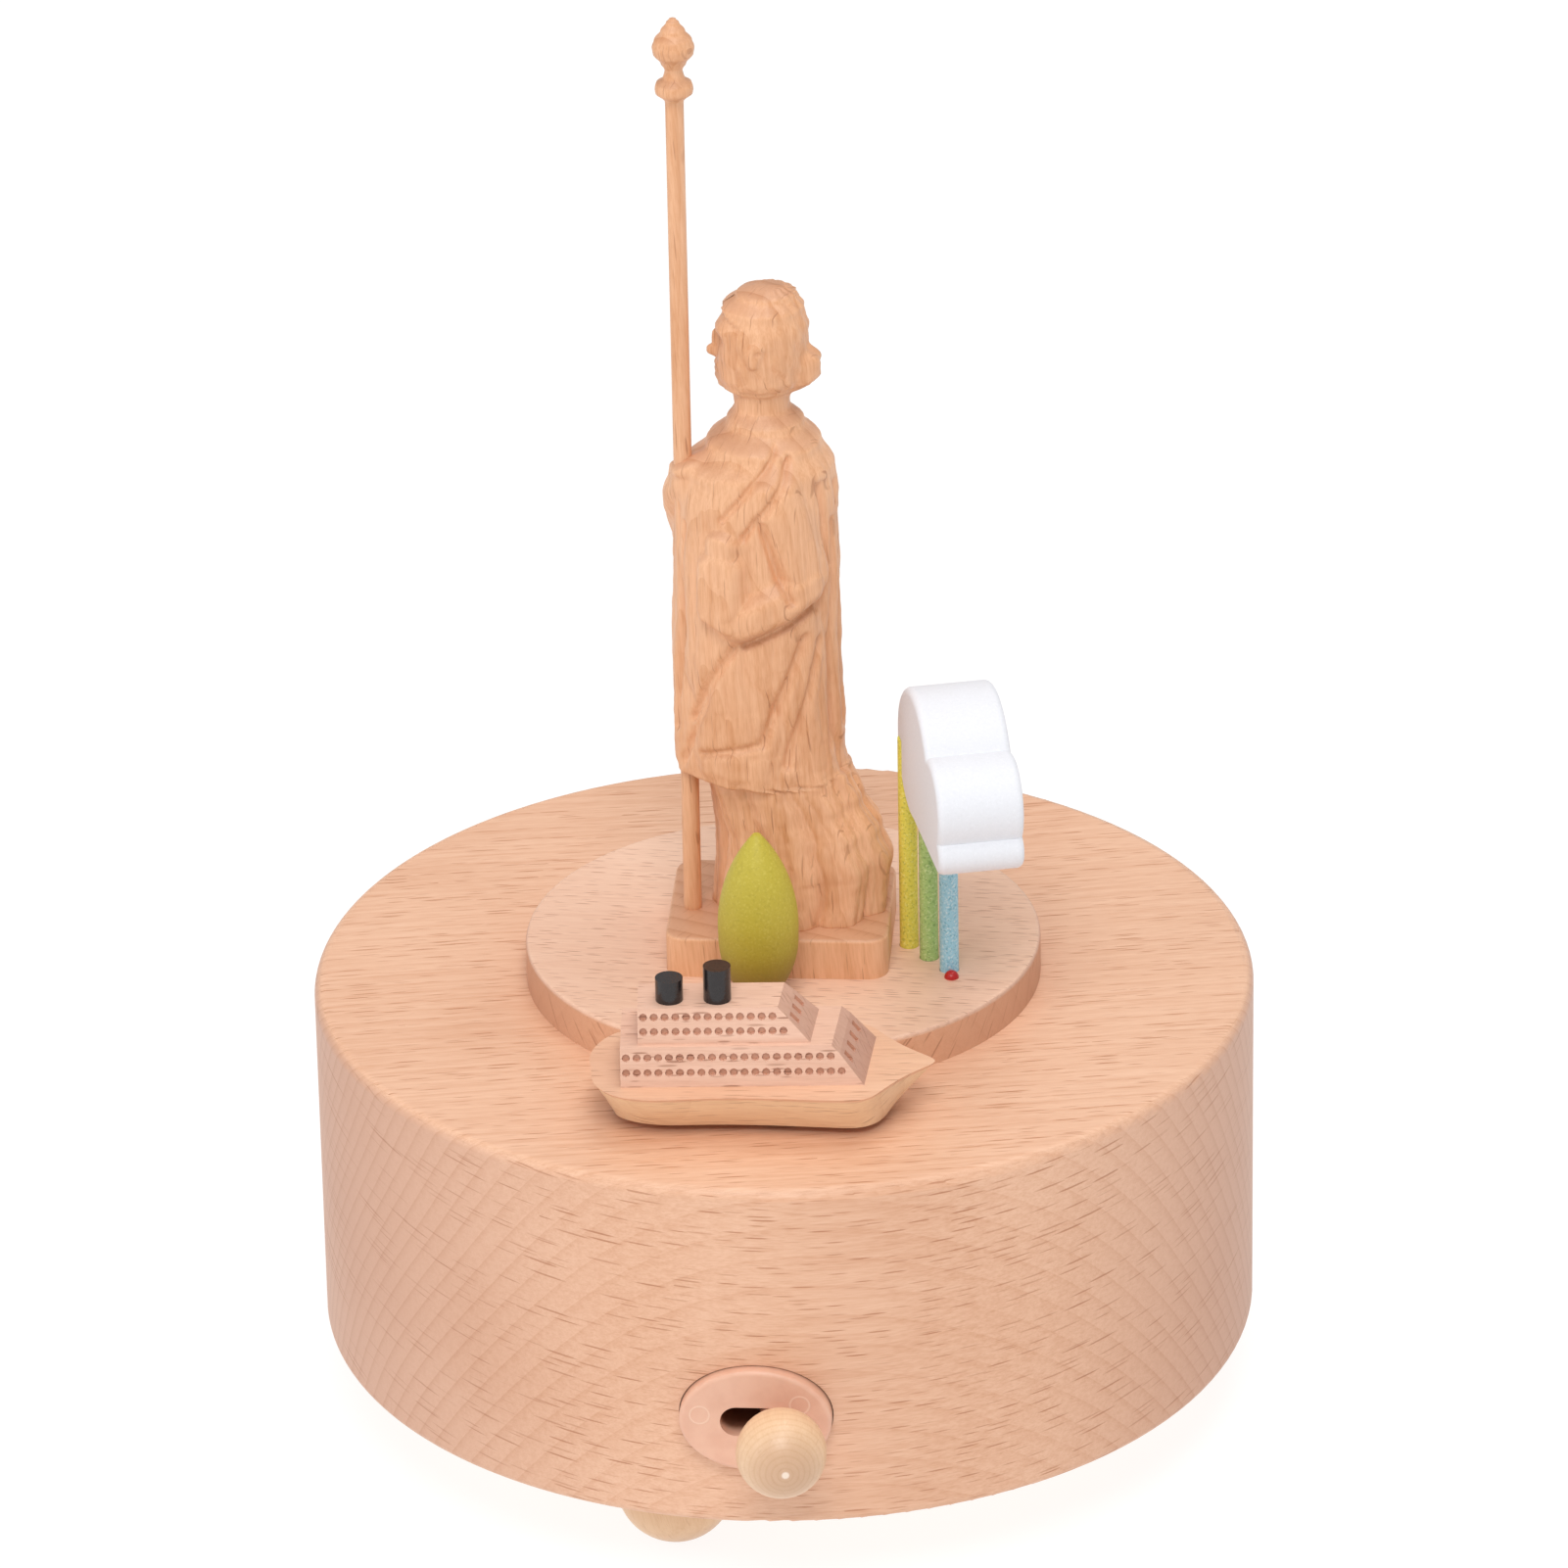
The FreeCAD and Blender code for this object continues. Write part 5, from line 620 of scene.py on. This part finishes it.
# Each line: direction and height of both ends of a swelling, its width, how far it stands
# out and how square its edge is. Arms, hands, jar, bun, then the face.
FIGURE_SWELLS = [
    (-72, 55, -48, 44, 2.7, 1.3, 4), (-48, 44, -100, 39.5, 2.2, 1.5, 4),
    (-104, 39.2, -118, 40.4, 1.2, 1.7, 4), (-112, 41.5, -112, 46, 2.5, 1.7, 6),
    (-112, 48.4, -112, 49.0, 1.7, 1.3, 6), (115, 55, 150, 46, 2.7, 1.3, 4),
    (150, 46, 192, 55, 2.2, 1.4, 4), (188, 55.4, 200, 56.6, 1.5, 1.6, 4),
    (0, 67, 0, 68.4, 1.9, 1.6, 4), (180, 69.8, 180, 70.2, 0.55, 1.15, 3),
    (180, 70.4, 180, 72.2, 0.42, 0.55, 3), (180, 65.9, 180, 66.5, 0.9, 0.5, 2),
    (166, 68.5, 194, 68.5, 0.28, 0.30, 2), (169, 67.8, 191, 67.8, 0.32, 0.34, 2),
    (-96, 70.4, -92, 72.2, 0.7, 0.55, 4), (96, 70.4, 92, 72.2, 0.7, 0.55, 4),
    (150, 73.1, 210, 73.1, 0.5, 0.22, 2)]
# The same for what the gouge took away: eye sockets, the line of the mouth, cuts beside the
# arms and round the jar, and long creases in the mantle.
FIGURE_CUTS = [
    (156, 71.7, 164, 71.6, 0.65, 0.42, 2), (196, 71.6, 204, 71.7, 0.65, 0.42, 2),
    (168, 68.15, 192, 68.15, 0.14, 0.22, 2), (-92, 71.4, -91, 71.6, 0.3, 0.35, 2),
    (-84, 52, -66, 42.5, 0.5, 0.9, 2), (-40, 41, -96, 36.6, 0.55, 0.9, 2),
    (-34, 55, -28, 45, 0.5, 0.7, 2), (-28, 45, -40, 40, 0.5, 0.6, 2),
    (-60, 59, -96, 50, 0.45, 0.7, 2), (-74, 60, -112, 52, 0.4, 0.6, 2),
    (-52, 37, -84, 24, 0.6, 0.75, 2), (-84, 24, -128, 22, 0.5, 0.55, 2),
    (-38, 36, -66, 21, 0.55, 0.7, 2), (-104, 36, -140, 26, 0.55, 0.7, 2),
    (-112, 34, -150, 20, 0.5, 0.6, 2), (-20, 50, -26, 22, 0.6, 0.7, 2),
    (-8, 54, -8, 24, 0.6, 0.6, 2), (-150, 50, -158, 24, 0.5, 0.6, 2),
    (20, 54, 14, 24, 0.6, 0.6, 2), (60, 56, 48, 22, 0.6, 0.7, 2),
    (90, 54, 96, 22, 0.6, 0.7, 2), (130, 44, 128, 20, 0.6, 0.7, 2)]
# The plinth in metres, and how deep the figure's foot is let into it.
PLINTH_LENGTH = 0.0258
PLINTH_DEPTH = 0.0207
PLINTH_THICK = 0.005
PLINTH_CORNER = 0.0024
PLINTH_EASE = 0.00045
PLINTH_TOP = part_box("centre_disc")[1].z + PLINTH_THICK
PLINTH_BACK = -0.0015
FIGURE_SINK = 0.0001
# How many steps the figure's skin has round it and upwards.
ROUND_STEPS = 300
UP_STEPS = 312
# Levels in millimetres above the plinth: the top of the skirt, the neck, where the hair
# begins and the brow, above which the hair comes forward over the forehead.
SKIRT_TOP = 17.9
NECK_LEVEL = 60.0
HAIR_FOOT = 66.2
BROW_LEVEL = 74.2
# Each line: how many folds go round, how strongly and in how many places they bunch up, where
# they start, and how far the noise and each millimetre of height shift them.
DEEP_FOLDS = (9, 1.2, 1, 0.3, 0.9, 0.0)
THIN_FOLDS = (23, 0.0, 1, 0.0, 2.5, 0.05)
MANTLE_FOLDS = (7, 1.4, 2, 0.0, 1.3, 0.14)
MANTLE_CREASES = (19, 0.0, 1, 0.0, 3.0, 0.0)
HEM_WAVES = (16, 0.0, 1, 0.0, 4.0, 0.0)
HAIR_STRANDS = (0, 34, 0.5, 0.0, 3.0, 1.7)
# How deep each of them is, in millimetres, and how the skirt's folds flatten upwards.
DEEP_FOLD_DEPTH = 0.62
THIN_FOLD_DEPTH = 0.14
MANTLE_FOLD_DEPTH = 0.34
MANTLE_CREASE_DEPTH = 0.10
HEM_DEPTH = 0.25
STRAND_DEPTH = 0.10
HAIR_THICK = 0.32
SKIRT_FLAT_AT = 30
SKIRT_FOOT_GAIN = 1.1
MANTLE_SLACK_HEIGHT = 20
HEM_HEIGHT = 1.6
# The edge of the hair in degrees from the back of the head, and how far each millimetre
# above the brow brings it forward.
HAIR_EDGE = 118
HAIR_EDGE_SLOPE = 40
# Gouge facets, the slow wandering of the surface and its fine roughness.
GOUGE_ACROSS = 0.6
GOUGE_UP = 0.18
GOUGE_DEPTH = 0.05
WANDER_SCALE = 0.16
WANDER_DEPTH = 0.22
ROUGH_SCALE = 0.9
ROUGH_DEPTH = 0.07
# A swelling or cut has died out at this many widths from its line.
REACH_WIDTHS = 2.2
CREASE_SHARPNESS = 0.7
CREASE_LEVEL = 1.2


def eased_level(levels, height):
    """The measures at a height, eased between the listed levels."""
    for low, high in zip(levels, levels[1:]):
        if height <= high[0]:
            break
    share = min(1.0, (height - low[0]) / (high[0] - low[0]))
    eased = share * share * (3 - 2 * share)
    return [start + (end - start) * eased for start, end in zip(low[1:], high[1:])]


def reach_of(line, direction, height, reach):
    """How strongly a swelling or cut acts at a direction and height."""
    from_turn, from_height, to_turn, to_height, width, depth, square = line
    farthest = abs(to_height - from_height) / 2 + REACH_WIDTHS * width
    if abs(height - (from_height + to_height) / 2) > farthest:
        return 0.0
    run = Vector((reach * math.radians(to_turn - from_turn), to_height - from_height))
    turn = (direction - math.radians(from_turn) + math.pi) % (2 * math.pi) - math.pi
    here = Vector((reach * turn, height - from_height))
    share = min(1.0, max(0.0, here.dot(run) / run.length_squared))
    return depth * math.exp(-((here - run * share).length / width) ** square)


def wave(folds, direction, height, wander):
    """How far a wave of folds has run at a direction and height, in radians."""
    count, bunching, bunches, start, by_wander, by_height = folds
    return (count * direction + bunching * math.sin(bunches * direction) + start
            + by_wander * wander + by_height * height)


def crease(angle):
    """A wave with broad round tops and narrow valleys, as in cut drapery."""
    return 2 * abs(math.sin(angle / 2)) ** CREASE_SHARPNESS - CREASE_LEVEL


def on_hair(direction, height):
    """Whether a place is on the hair, which goes round the head up to the face's edge."""
    from_back = abs((direction + math.pi) % (2 * math.pi) - math.pi)
    edge = HAIR_EDGE + max(0.0, height - BROW_LEVEL) * HAIR_EDGE_SLOPE
    return height > HAIR_FOOT and from_back < math.radians(edge)


def figure_relief(direction, height, reach):
    """Everything that stands out of the plain ovals or is cut into them, in millimetres."""
    relief = max(reach_of(line, direction, height, reach) for line in FIGURE_SWELLS)
    relief -= max(reach_of(line, direction, height, reach) for line in FIGURE_CUTS)
    spot = Vector((reach * math.cos(direction), reach * math.sin(direction), height))
    wander = noise(spot * WANDER_SCALE)
    here = (direction, height, wander)
    if height < SKIRT_TOP:
        flattening = SKIRT_FOOT_GAIN - height / SKIRT_FLAT_AT
        relief += (crease(wave(DEEP_FOLDS, *here)) * DEEP_FOLD_DEPTH * flattening
                   + crease(wave(THIN_FOLDS, *here)) * THIN_FOLD_DEPTH)
    elif height < NECK_LEVEL:
        slack = min(1.0, (NECK_LEVEL - height) / MANTLE_SLACK_HEIGHT)
        relief += (crease(wave(MANTLE_FOLDS, *here)) * MANTLE_FOLD_DEPTH * slack
                   + crease(wave(MANTLE_CREASES, *here)) * MANTLE_CREASE_DEPTH * slack)
        hem = max(0.0, 1 - (height - SKIRT_TOP) / HEM_HEIGHT)
        relief += hem * HEM_DEPTH * math.cos(wave(HEM_WAVES, *here))
    elif on_hair(direction, height):
        relief += HAIR_THICK + STRAND_DEPTH * math.cos(wave(HAIR_STRANDS, *here))
    gouge = cell(Vector((spot.x * GOUGE_ACROSS, spot.y * GOUGE_ACROSS, height * GOUGE_UP)))
    return (relief + GOUGE_DEPTH * gouge + WANDER_DEPTH * wander
            + ROUGH_DEPTH * noise(spot * ROUGH_SCALE))


def figure_spot(direction, share):
    """A point of the figure's skin for a direction and a share of the way up."""
    height = FIGURE_LEVELS[-1][0] * share
    front, back, half = eased_level(FIGURE_LEVELS, height)
    across = (back - front) / 2 * math.cos(direction)
    deep = half * math.sin(direction)
    reach = math.hypot(across, deep)
    out = 1 + figure_relief(direction, height, reach) / reach
    return Vector((((front + back) / 2 + across * out) * MM, deep * out * MM + PLINTH_BACK,
                   PLINTH_TOP - FIGURE_SINK + height * MM))


MERGE_GAP = 0.000004


def wrapped_skin(name, around, along, spot):
    """A closed skin from a grid wrapped round an upright axis, with both ends filled."""
    bpy.ops.object.select_all(action="DESELECT")
    bpy.ops.mesh.primitive_grid_add(x_subdivisions=around, y_subdivisions=along, size=2)
    skin = bpy.context.object
    skin.name = name
    for corner in skin.data.vertices:
        corner.co = spot(math.pi * corner.co.x, (corner.co.y + 1) / 2)
    bpy.ops.object.mode_set(mode="EDIT")
    bpy.ops.mesh.select_all(action="SELECT")
    bpy.ops.mesh.remove_doubles(threshold=MERGE_GAP)
    bpy.ops.mesh.select_all(action="DESELECT")
    bpy.ops.mesh.select_non_manifold()
    bpy.ops.mesh.edge_face_add()
    bpy.ops.mesh.select_all(action="SELECT")
    bpy.ops.mesh.normals_make_consistent(inside=False)
    bpy.ops.object.mode_set(mode="OBJECT")
    bpy.ops.object.shade_smooth()
    return skin


figure = wrapped_skin("carved_walker", ROUND_STEPS, UP_STEPS, figure_spot)
bpy.ops.object.select_all(action="DESELECT")
bpy.ops.mesh.primitive_cube_add(size=1)
plinth = bpy.context.object
plinth.name = "figure_plinth"
plinth.scale = (PLINTH_LENGTH, PLINTH_DEPTH, PLINTH_THICK)
plinth.location = (0, PLINTH_BACK, PLINTH_TOP - PLINTH_THICK / 2)
bpy.ops.object.transform_apply(location=True, rotation=False, scale=True)


def bevel_where(thing, wanted, width, segments):
    """Round the edges of a mesh that a test picks by their two ends."""
    bpy.context.view_layer.objects.active = thing
    bpy.ops.object.mode_set(mode="EDIT")
    bpy.ops.mesh.select_mode(type="EDGE")
    bpy.ops.mesh.select_all(action="DESELECT")
    shape = bmesh.from_edit_mesh(thing.data)
    for edge in shape.edges:
        edge.select_set(wanted(edge.verts[0].co, edge.verts[1].co))
    bmesh.update_edit_mesh(thing.data)
    bpy.ops.mesh.bevel(offset=width, segments=segments, affect="EDGES")
    bpy.ops.object.mode_set(mode="OBJECT")


def upright(first, second):
    """Whether an edge of the plinth goes up."""
    return abs(first.z - second.z) > PLINTH_THICK / 2


def along_top(first, second):
    """Whether both ends of an edge lie in the plinth's top."""
    return min(first.z, second.z) > PLINTH_TOP - FIGURE_SINK


PLINTH_CORNER_STEPS = 10
PLINTH_EASE_STEPS = 4
bevel_where(plinth, upright, PLINTH_CORNER, PLINTH_CORNER_STEPS)
bevel_where(plinth, along_top, PLINTH_EASE, PLINTH_EASE_STEPS)
bpy.ops.object.shade_smooth_by_angle(angle=math.radians(40))
figure.select_set(True)
plinth.select_set(True)
bpy.context.view_layer.objects.active = figure
bpy.ops.object.join()
dress(figure, carved_beech)
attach(figure, "box")
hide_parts("carved_figure")

# Each line: height in millimetres and radius of the staff, a dowel with a turned collar and a
# pointed bud on top.
STAFF_LEVELS = [
    (0.0, 1.05), (102.5, 1.05), (103.0, 1.5), (103.5, 2.1), (104.1, 2.2), (104.7, 2.0),
    (105.3, 1.2), (106.3, 1.0), (107.2, 1.5), (108.3, 2.3), (109.0, 2.4), (109.8, 2.15),
    (110.9, 1.4), (111.9, 0.75), (112.35, 0.4), (112.5, 0.1)]
STAFF_ROUND_STEPS = 48
STAFF_UP_STEPS = 140
STAFF_STEP_EASE = 2.5
staff_low, staff_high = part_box("figure_staff")
staff_foot = Vector(((staff_low.x + staff_high.x) / 2, (staff_low.y + staff_high.y) / 2,
                     staff_low.z))


def staff_spot(direction, share):
    """A point of the staff's skin; the steps up get finer towards the turned end."""
    height = STAFF_LEVELS[-1][0] * (1 - (1 - share) ** STAFF_STEP_EASE)
    radius = eased_level(STAFF_LEVELS, height)[0]
    return staff_foot + Vector((radius * math.cos(direction), radius * math.sin(direction),
                                height)) * MM


staff = wrapped_skin("turned_staff", STAFF_ROUND_STEPS, STAFF_UP_STEPS, staff_spot)
dress(staff, carved_beech)
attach(staff, "box")
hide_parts("figure_staff")

# Tree
# A turned egg of limewood in speckled green paint, with painted shade that darkens it towards
# its foot. It stands on the centre disc on a pin.
SPECK_BAND = (0.5, 0.72)
SHADE_SCALE = 0.8
SHADE_BAND = (0.3, 0.5)


def speckled_paint():
    """Brushed paint with pale specks and darker, larger spots."""
    tree, given, out = new_group("speckled_paint", [
        ("Vector", "NodeSocketVector", None),
        ("Paint", "NodeSocketColor", (0.5, 0.5, 0.1, 1)),
        ("Speck", "NodeSocketColor", (0.8, 0.8, 0.4, 1)),
        ("Shade", "NodeSocketColor", (0.3, 0.3, 0.05, 1)),
        ("Speck Size", "NodeSocketFloat", 0.0003),
        ("Speck Share", "NodeSocketFloat", 0.4),
        ("Shade Share", "NodeSocketFloat", 0.2),
    ], [("Color", "NodeSocketColor"), ("Height", "NodeSocketFloat")])
    speck_place = stretched(tree, given["Vector"], given["Speck Size"], given["Speck Size"])
    specks = noisy(tree, speck_place, 1.0)
    spots = falling(tree, noisy(tree, speck_place, SHADE_SCALE, 3.0), *SHADE_BAND)
    spotted = mixed(tree, product(tree, spots, given["Shade Share"]), given["Paint"],
                    given["Shade"])
    speckled = mixed(tree, product(tree, banded(tree, specks, *SPECK_BAND),
                                   given["Speck Share"]), spotted, given["Speck"])
    feed(tree, out["Color"], speckled)
    feed(tree, out["Height"], specks)
    return tree


paint_tree = speckled_paint()


def paint(name, colour, speck, shade, roughness=0.6, size=0.0003, share=0.4, shade_share=0.2,
          depth=0.00005, foot=None):
    """Speckled paint; a foot is painted shade below, from a full to a fading level."""
    made, tree, shader, place = plain_material(name, roughness)
    finish = group_in(tree, paint_tree, place, Paint=linear(*colour), Speck=linear(*speck),
                      Shade=linear(*shade), Speck_Size=size, Speck_Share=share,
                      Shade_Share=shade_share)
    shown = finish.outputs["Color"]
    if foot:
        foot_shade, full_level, fading_level = foot
        in_foot_shade = falling(tree, parts_of(tree, place)[2], full_level, fading_level)
        shown = mixed(tree, in_foot_shade, shown, linear(*foot_shade))
    tree.links.new(shown, shader.inputs["Base Color"])
    bump(tree, shader, finish.outputs["Height"], depth)
    return made


# Painted shade darkens the lower part of the tree.
TREE_FOOT_SHADE_HEIGHT = 0.011
tree_foot_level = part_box("tree")[0].z
leaf_paint = paint("leaf_paint", (190, 174, 58), (212, 200, 94), (140, 124, 30), 0.55,
                   foot=((130, 108, 28), tree_foot_level, tree_foot_level + TREE_FOOT_SHADE_HEIGHT))
give(leaf_paint, "tree")

# Painted rods and bead
# Three thin birch dowels in yellow, green and blue paint that carry the cloud, and a red
# bead of paint at the foot of the blue one.
ROD_GRAIN = {"size": 0.00026, "share": 0.75, "shade_share": 0.7, "depth": 0.00012}
for rod, colour, speck, shade in (
        ("yellow_rod", (232, 222, 92), (248, 242, 150), (176, 176, 60)),
        ("green_rod", (176, 210, 130), (222, 238, 176), (112, 160, 84)),
        ("blue_rod", (160, 216, 238), (224, 246, 254), (100, 172, 200))):
    give(paint(rod + "_paint", colour, speck, shade, **ROD_GRAIN), rod)
give(paint("red_bead_paint", (186, 30, 30), (214, 70, 60), (130, 16, 18), 0.3), "red_bead")

# Cloud
# A slab of limewood sawn to a cloud, sanded round and sprayed with white chalky paint. It
# is glued on the tops of the rods.
give(paint("chalk_white", (230, 231, 236), (238, 239, 244), (218, 218, 222), 0.7,
           depth=0.00006), "cloud")

# Switch plate, lever and knob
# An oval pink plastic plug in the front wall, a lever of the same plastic on a steel pin, and
# a birch ball on the lever's peg.
SWITCH_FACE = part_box("switch_plate")[0].y
# Painted shade deep in the slot: its tint, and the depths behind the face where it begins and is
# full.
SLOT_PAINTED_SHADE = (0.34, 0.25, 0.21)
SLOT_SHADE_FROM = 0.0006
SLOT_SHADE_FULL = 0.0026
PIN_RING_RADIUS = 0.0011
PIN_RING_WIDTH = 0.00014
PIN_RING_CORE = 0.4
PIN_RING_PALENESS = 0.6
PIN_RINGS = [(-0.0063, 0, 0.0244), (0.0051, 0, 0.0259)]
CLOUDY_SCALE = 420.0
CLOUDY_BAND = (0.35, 0.7)
PLASTIC_SKIN_SCALE = 5200.0
PLASTIC_SKIN_RISE = 0.25
PLASTIC_DEPTH = 0.00006
PLASTIC_GLOW = 0.05
PLASTIC_GLOW_REACH = (0.002, 0.001, 0.0007)


def ring_mark(tree, place, middle):
    """A mask of a thin ring round a point on the middle plane, seen along Y."""
    reach = vector_maths(tree, "DISTANCE", vector_maths(tree, "MULTIPLY", place, (1, 0, 1)),
                         middle)
    off_ring = maths(tree, "ABSOLUTE", maths(tree, "SUBTRACT", reach, PIN_RING_RADIUS))
    return falling(tree, off_ring, PIN_RING_WIDTH * PIN_RING_CORE, PIN_RING_WIDTH)


def moulded(name, colour, dark, pale, rings=()):
    """Cloudy moulded plastic, with thin raised rings where ejector pins left their marks.

    It darkens with the depth behind the wall's face, as painted shade in the slot.
    """
    made, tree, shader, place = plain_material(name, 0.42)
    cloudy = banded(tree, noisy(tree, place, CLOUDY_SCALE, 3.0), *CLOUDY_BAND)
    shade = mixed(tree, cloudy, linear(*colour), linear(*dark))
    height = product(tree, noisy(tree, place, PLASTIC_SKIN_SCALE), PLASTIC_SKIN_RISE)
    for middle in rings:
        ring = ring_mark(tree, place, middle)
        shade = mixed(tree, product(tree, ring, PIN_RING_PALENESS), shade, linear(*pale))
        height = maths(tree, "ADD", height, ring)
    # Painted shade, darker the deeper behind the wall's face.
    behind = banded(tree, parts_of(tree, place)[1], SWITCH_FACE + SLOT_SHADE_FROM,
                    SWITCH_FACE + SLOT_SHADE_FULL)
    tree.links.new(tinted(tree, behind, shade, SLOT_PAINTED_SHADE), shader.inputs["Base Color"])
    bump(tree, shader, height, PLASTIC_DEPTH)
    shader.inputs["Subsurface Weight"].default_value = PLASTIC_GLOW
    shader.inputs["Subsurface Radius"].default_value = PLASTIC_GLOW_REACH
    return made


give(moulded("plate_plastic", (234, 186, 160), (228, 177, 151), (248, 210, 186), PIN_RINGS),
     "switch_plate")
give(moulded("lever_plastic", (236, 184, 158), (230, 175, 149), (248, 208, 184)), "switch_lever")
give(plated_steel, "pivot_pin", "stop_wire")

# The knob's grain points away from the pivot, through the pole of the ball. Fine rings from
# the lathe go round the pole, and a pale dot marks it. The rings' wave runs by so many
# radians for each metre from the pole.
KNOB_RING_WAVE = 9000.0
KNOB_RING_BAND = (0.2, 1.0)
KNOB_RING_SHARE = 0.45
KNOB_RING_TINT = (0.9, 0.84, 0.76)
POLE_DOT_BAND = (0.0003, 0.00055)
POLE_DOT_SHARE = 0.85
POLE_DOT_COLOUR = (250, 232, 214)
knob_low, knob_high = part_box("knob")
knob_middle = (knob_low + knob_high) / 2
pin_low, pin_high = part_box("pivot_pin")
knob_out = knob_middle - (pin_low + pin_high) / 2
knob_out.z = 0
knob_out.normalize()
knob_pole = knob_middle + knob_out * ((knob_high.z - knob_low.z) / 2)
knob_heading = math.degrees(math.atan2(knob_out.y, knob_out.x))
knob_birch = wood("knob_birch", light=(237, 201, 164), dark=(222, 178, 138), fleck=(184, 134, 92),
                  grain_turn=knob_heading, roughness=0.42, coat=0.1, Ring_Pitch=0.0012,
                  Ring_Strength=0.15, Fleck_Length=0.0016, Fleck_Width=0.00012, Fleck_Gap=0.0007,
                  Fleck_Depth=0.001, Fleck_Share=0.5, Fleck_Strength=0.35)
knob_tree = knob_birch.node_tree
knob_base = knob_tree.nodes["Principled BSDF"].inputs["Base Color"]
knob_place = knob_tree.nodes.new("ShaderNodeTexCoord").outputs["Object"]
pole_reach = vector_maths(knob_tree, "DISTANCE", knob_place, knob_pole)
lathe_wave = maths(knob_tree, "SINE", product(knob_tree, pole_reach, KNOB_RING_WAVE))
lathe_rings = banded(knob_tree, lathe_wave, *KNOB_RING_BAND, 0.0, KNOB_RING_SHARE)
ringed_wood = tinted(knob_tree, lathe_rings, knob_base.links[0].from_socket, KNOB_RING_TINT)
pole_dot = banded(knob_tree, pole_reach, *POLE_DOT_BAND, POLE_DOT_SHARE, 0.0)
knob_tree.links.new(mixed(knob_tree, pole_dot, ringed_wood, linear(*POLE_DOT_COLOUR)), knob_base)
give(knob_birch, "knob")

# Ship
# A limewood ship: hull with a round stern and a hollow bow, two stacked cabins with punched
# windows, two black funnels, and below a felt pad under the hull's magnet.
ship_low, ship_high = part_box("ship_magnet")
ship_middle = (ship_low + ship_high) / 2
ship_across = Vector((ship_middle.x, ship_middle.y, 0)).normalized()
LOW_CABIN_HALF = 0.00585
HIGH_CABIN_HALF = 0.0041
CABIN_LEAN = 0.001
# Painted shade on the floors of the punched windows.
WELL_PAINTED_SHADE = (0.80, 0.68, 0.62)
SHIP_GRAIN_TURN = 3.3
HULL_RIM_TILT = 45.0
# Painted light: a tint above one that lightens the sides of the hull, which face down.
HULL_SIDE_PAINTED_LIGHT = (1.17, 1.48, 1.5)
# End grain of the cabins, darkened further as painted shade on their raked fronts.
CABIN_END_GRAIN_AND_SHADE = (0.62, 0.49, 0.45)
CABIN_WELLS = [
    (ship_middle, ship_across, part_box(cabin)[0].z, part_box(cabin)[1].z, half, half - CABIN_LEAN,
     WELL_PAINTED_SHADE)
    for cabin, half in (("lower_cabin", LOW_CABIN_HALF), ("upper_cabin", HIGH_CABIN_HALF))]
hull_wood = wood("hull_wood", light=(238, 192, 160), dark=(214, 160, 126), fleck=(150, 92, 60),
                 grain_turn=SHIP_GRAIN_TURN, roughness=0.45, coat=0.1,
                 rim=(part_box("ship_hull")[1].z, HULL_RIM_TILT, HULL_SIDE_PAINTED_LIGHT), Ring_Pitch=0.0025,
                 Ring_Strength=0.3, Fleck_Length=0.0036, Fleck_Width=0.00020, Fleck_Gap=0.0007,
                 Fleck_Depth=0.002, Fleck_Strength=0.65)
cabin_wood = wood("cabin_wood", light=(238, 197, 174), dark=(212, 164, 138), fleck=(140, 84, 58),
                  grain_turn=SHIP_GRAIN_TURN, roughness=0.5, offset=(0.01, 0.02, 0.03),
                  wells=CABIN_WELLS, end_grain_and_shade_tint=CABIN_END_GRAIN_AND_SHADE, Ring_Pitch=0.002, Ring_Strength=0.3,
                  Fleck_Length=0.0028, Fleck_Width=0.0002, Fleck_Gap=0.0006, Fleck_Depth=0.002,
                  Fleck_Strength=0.7)
give(hull_wood, "ship_hull")
give(cabin_wood, "lower_cabin", "upper_cabin")
give(paint("funnel_black", (34, 29, 30), (66, 60, 60), (20, 17, 17), 0.18, share=0.15),
     "short_funnel", "tall_funnel")
give(paint("grey_felt", (96, 96, 98), (140, 140, 142), (60, 60, 62), 0.9, size=0.0002,
           share=0.6, depth=0.0002), "glide_pad")
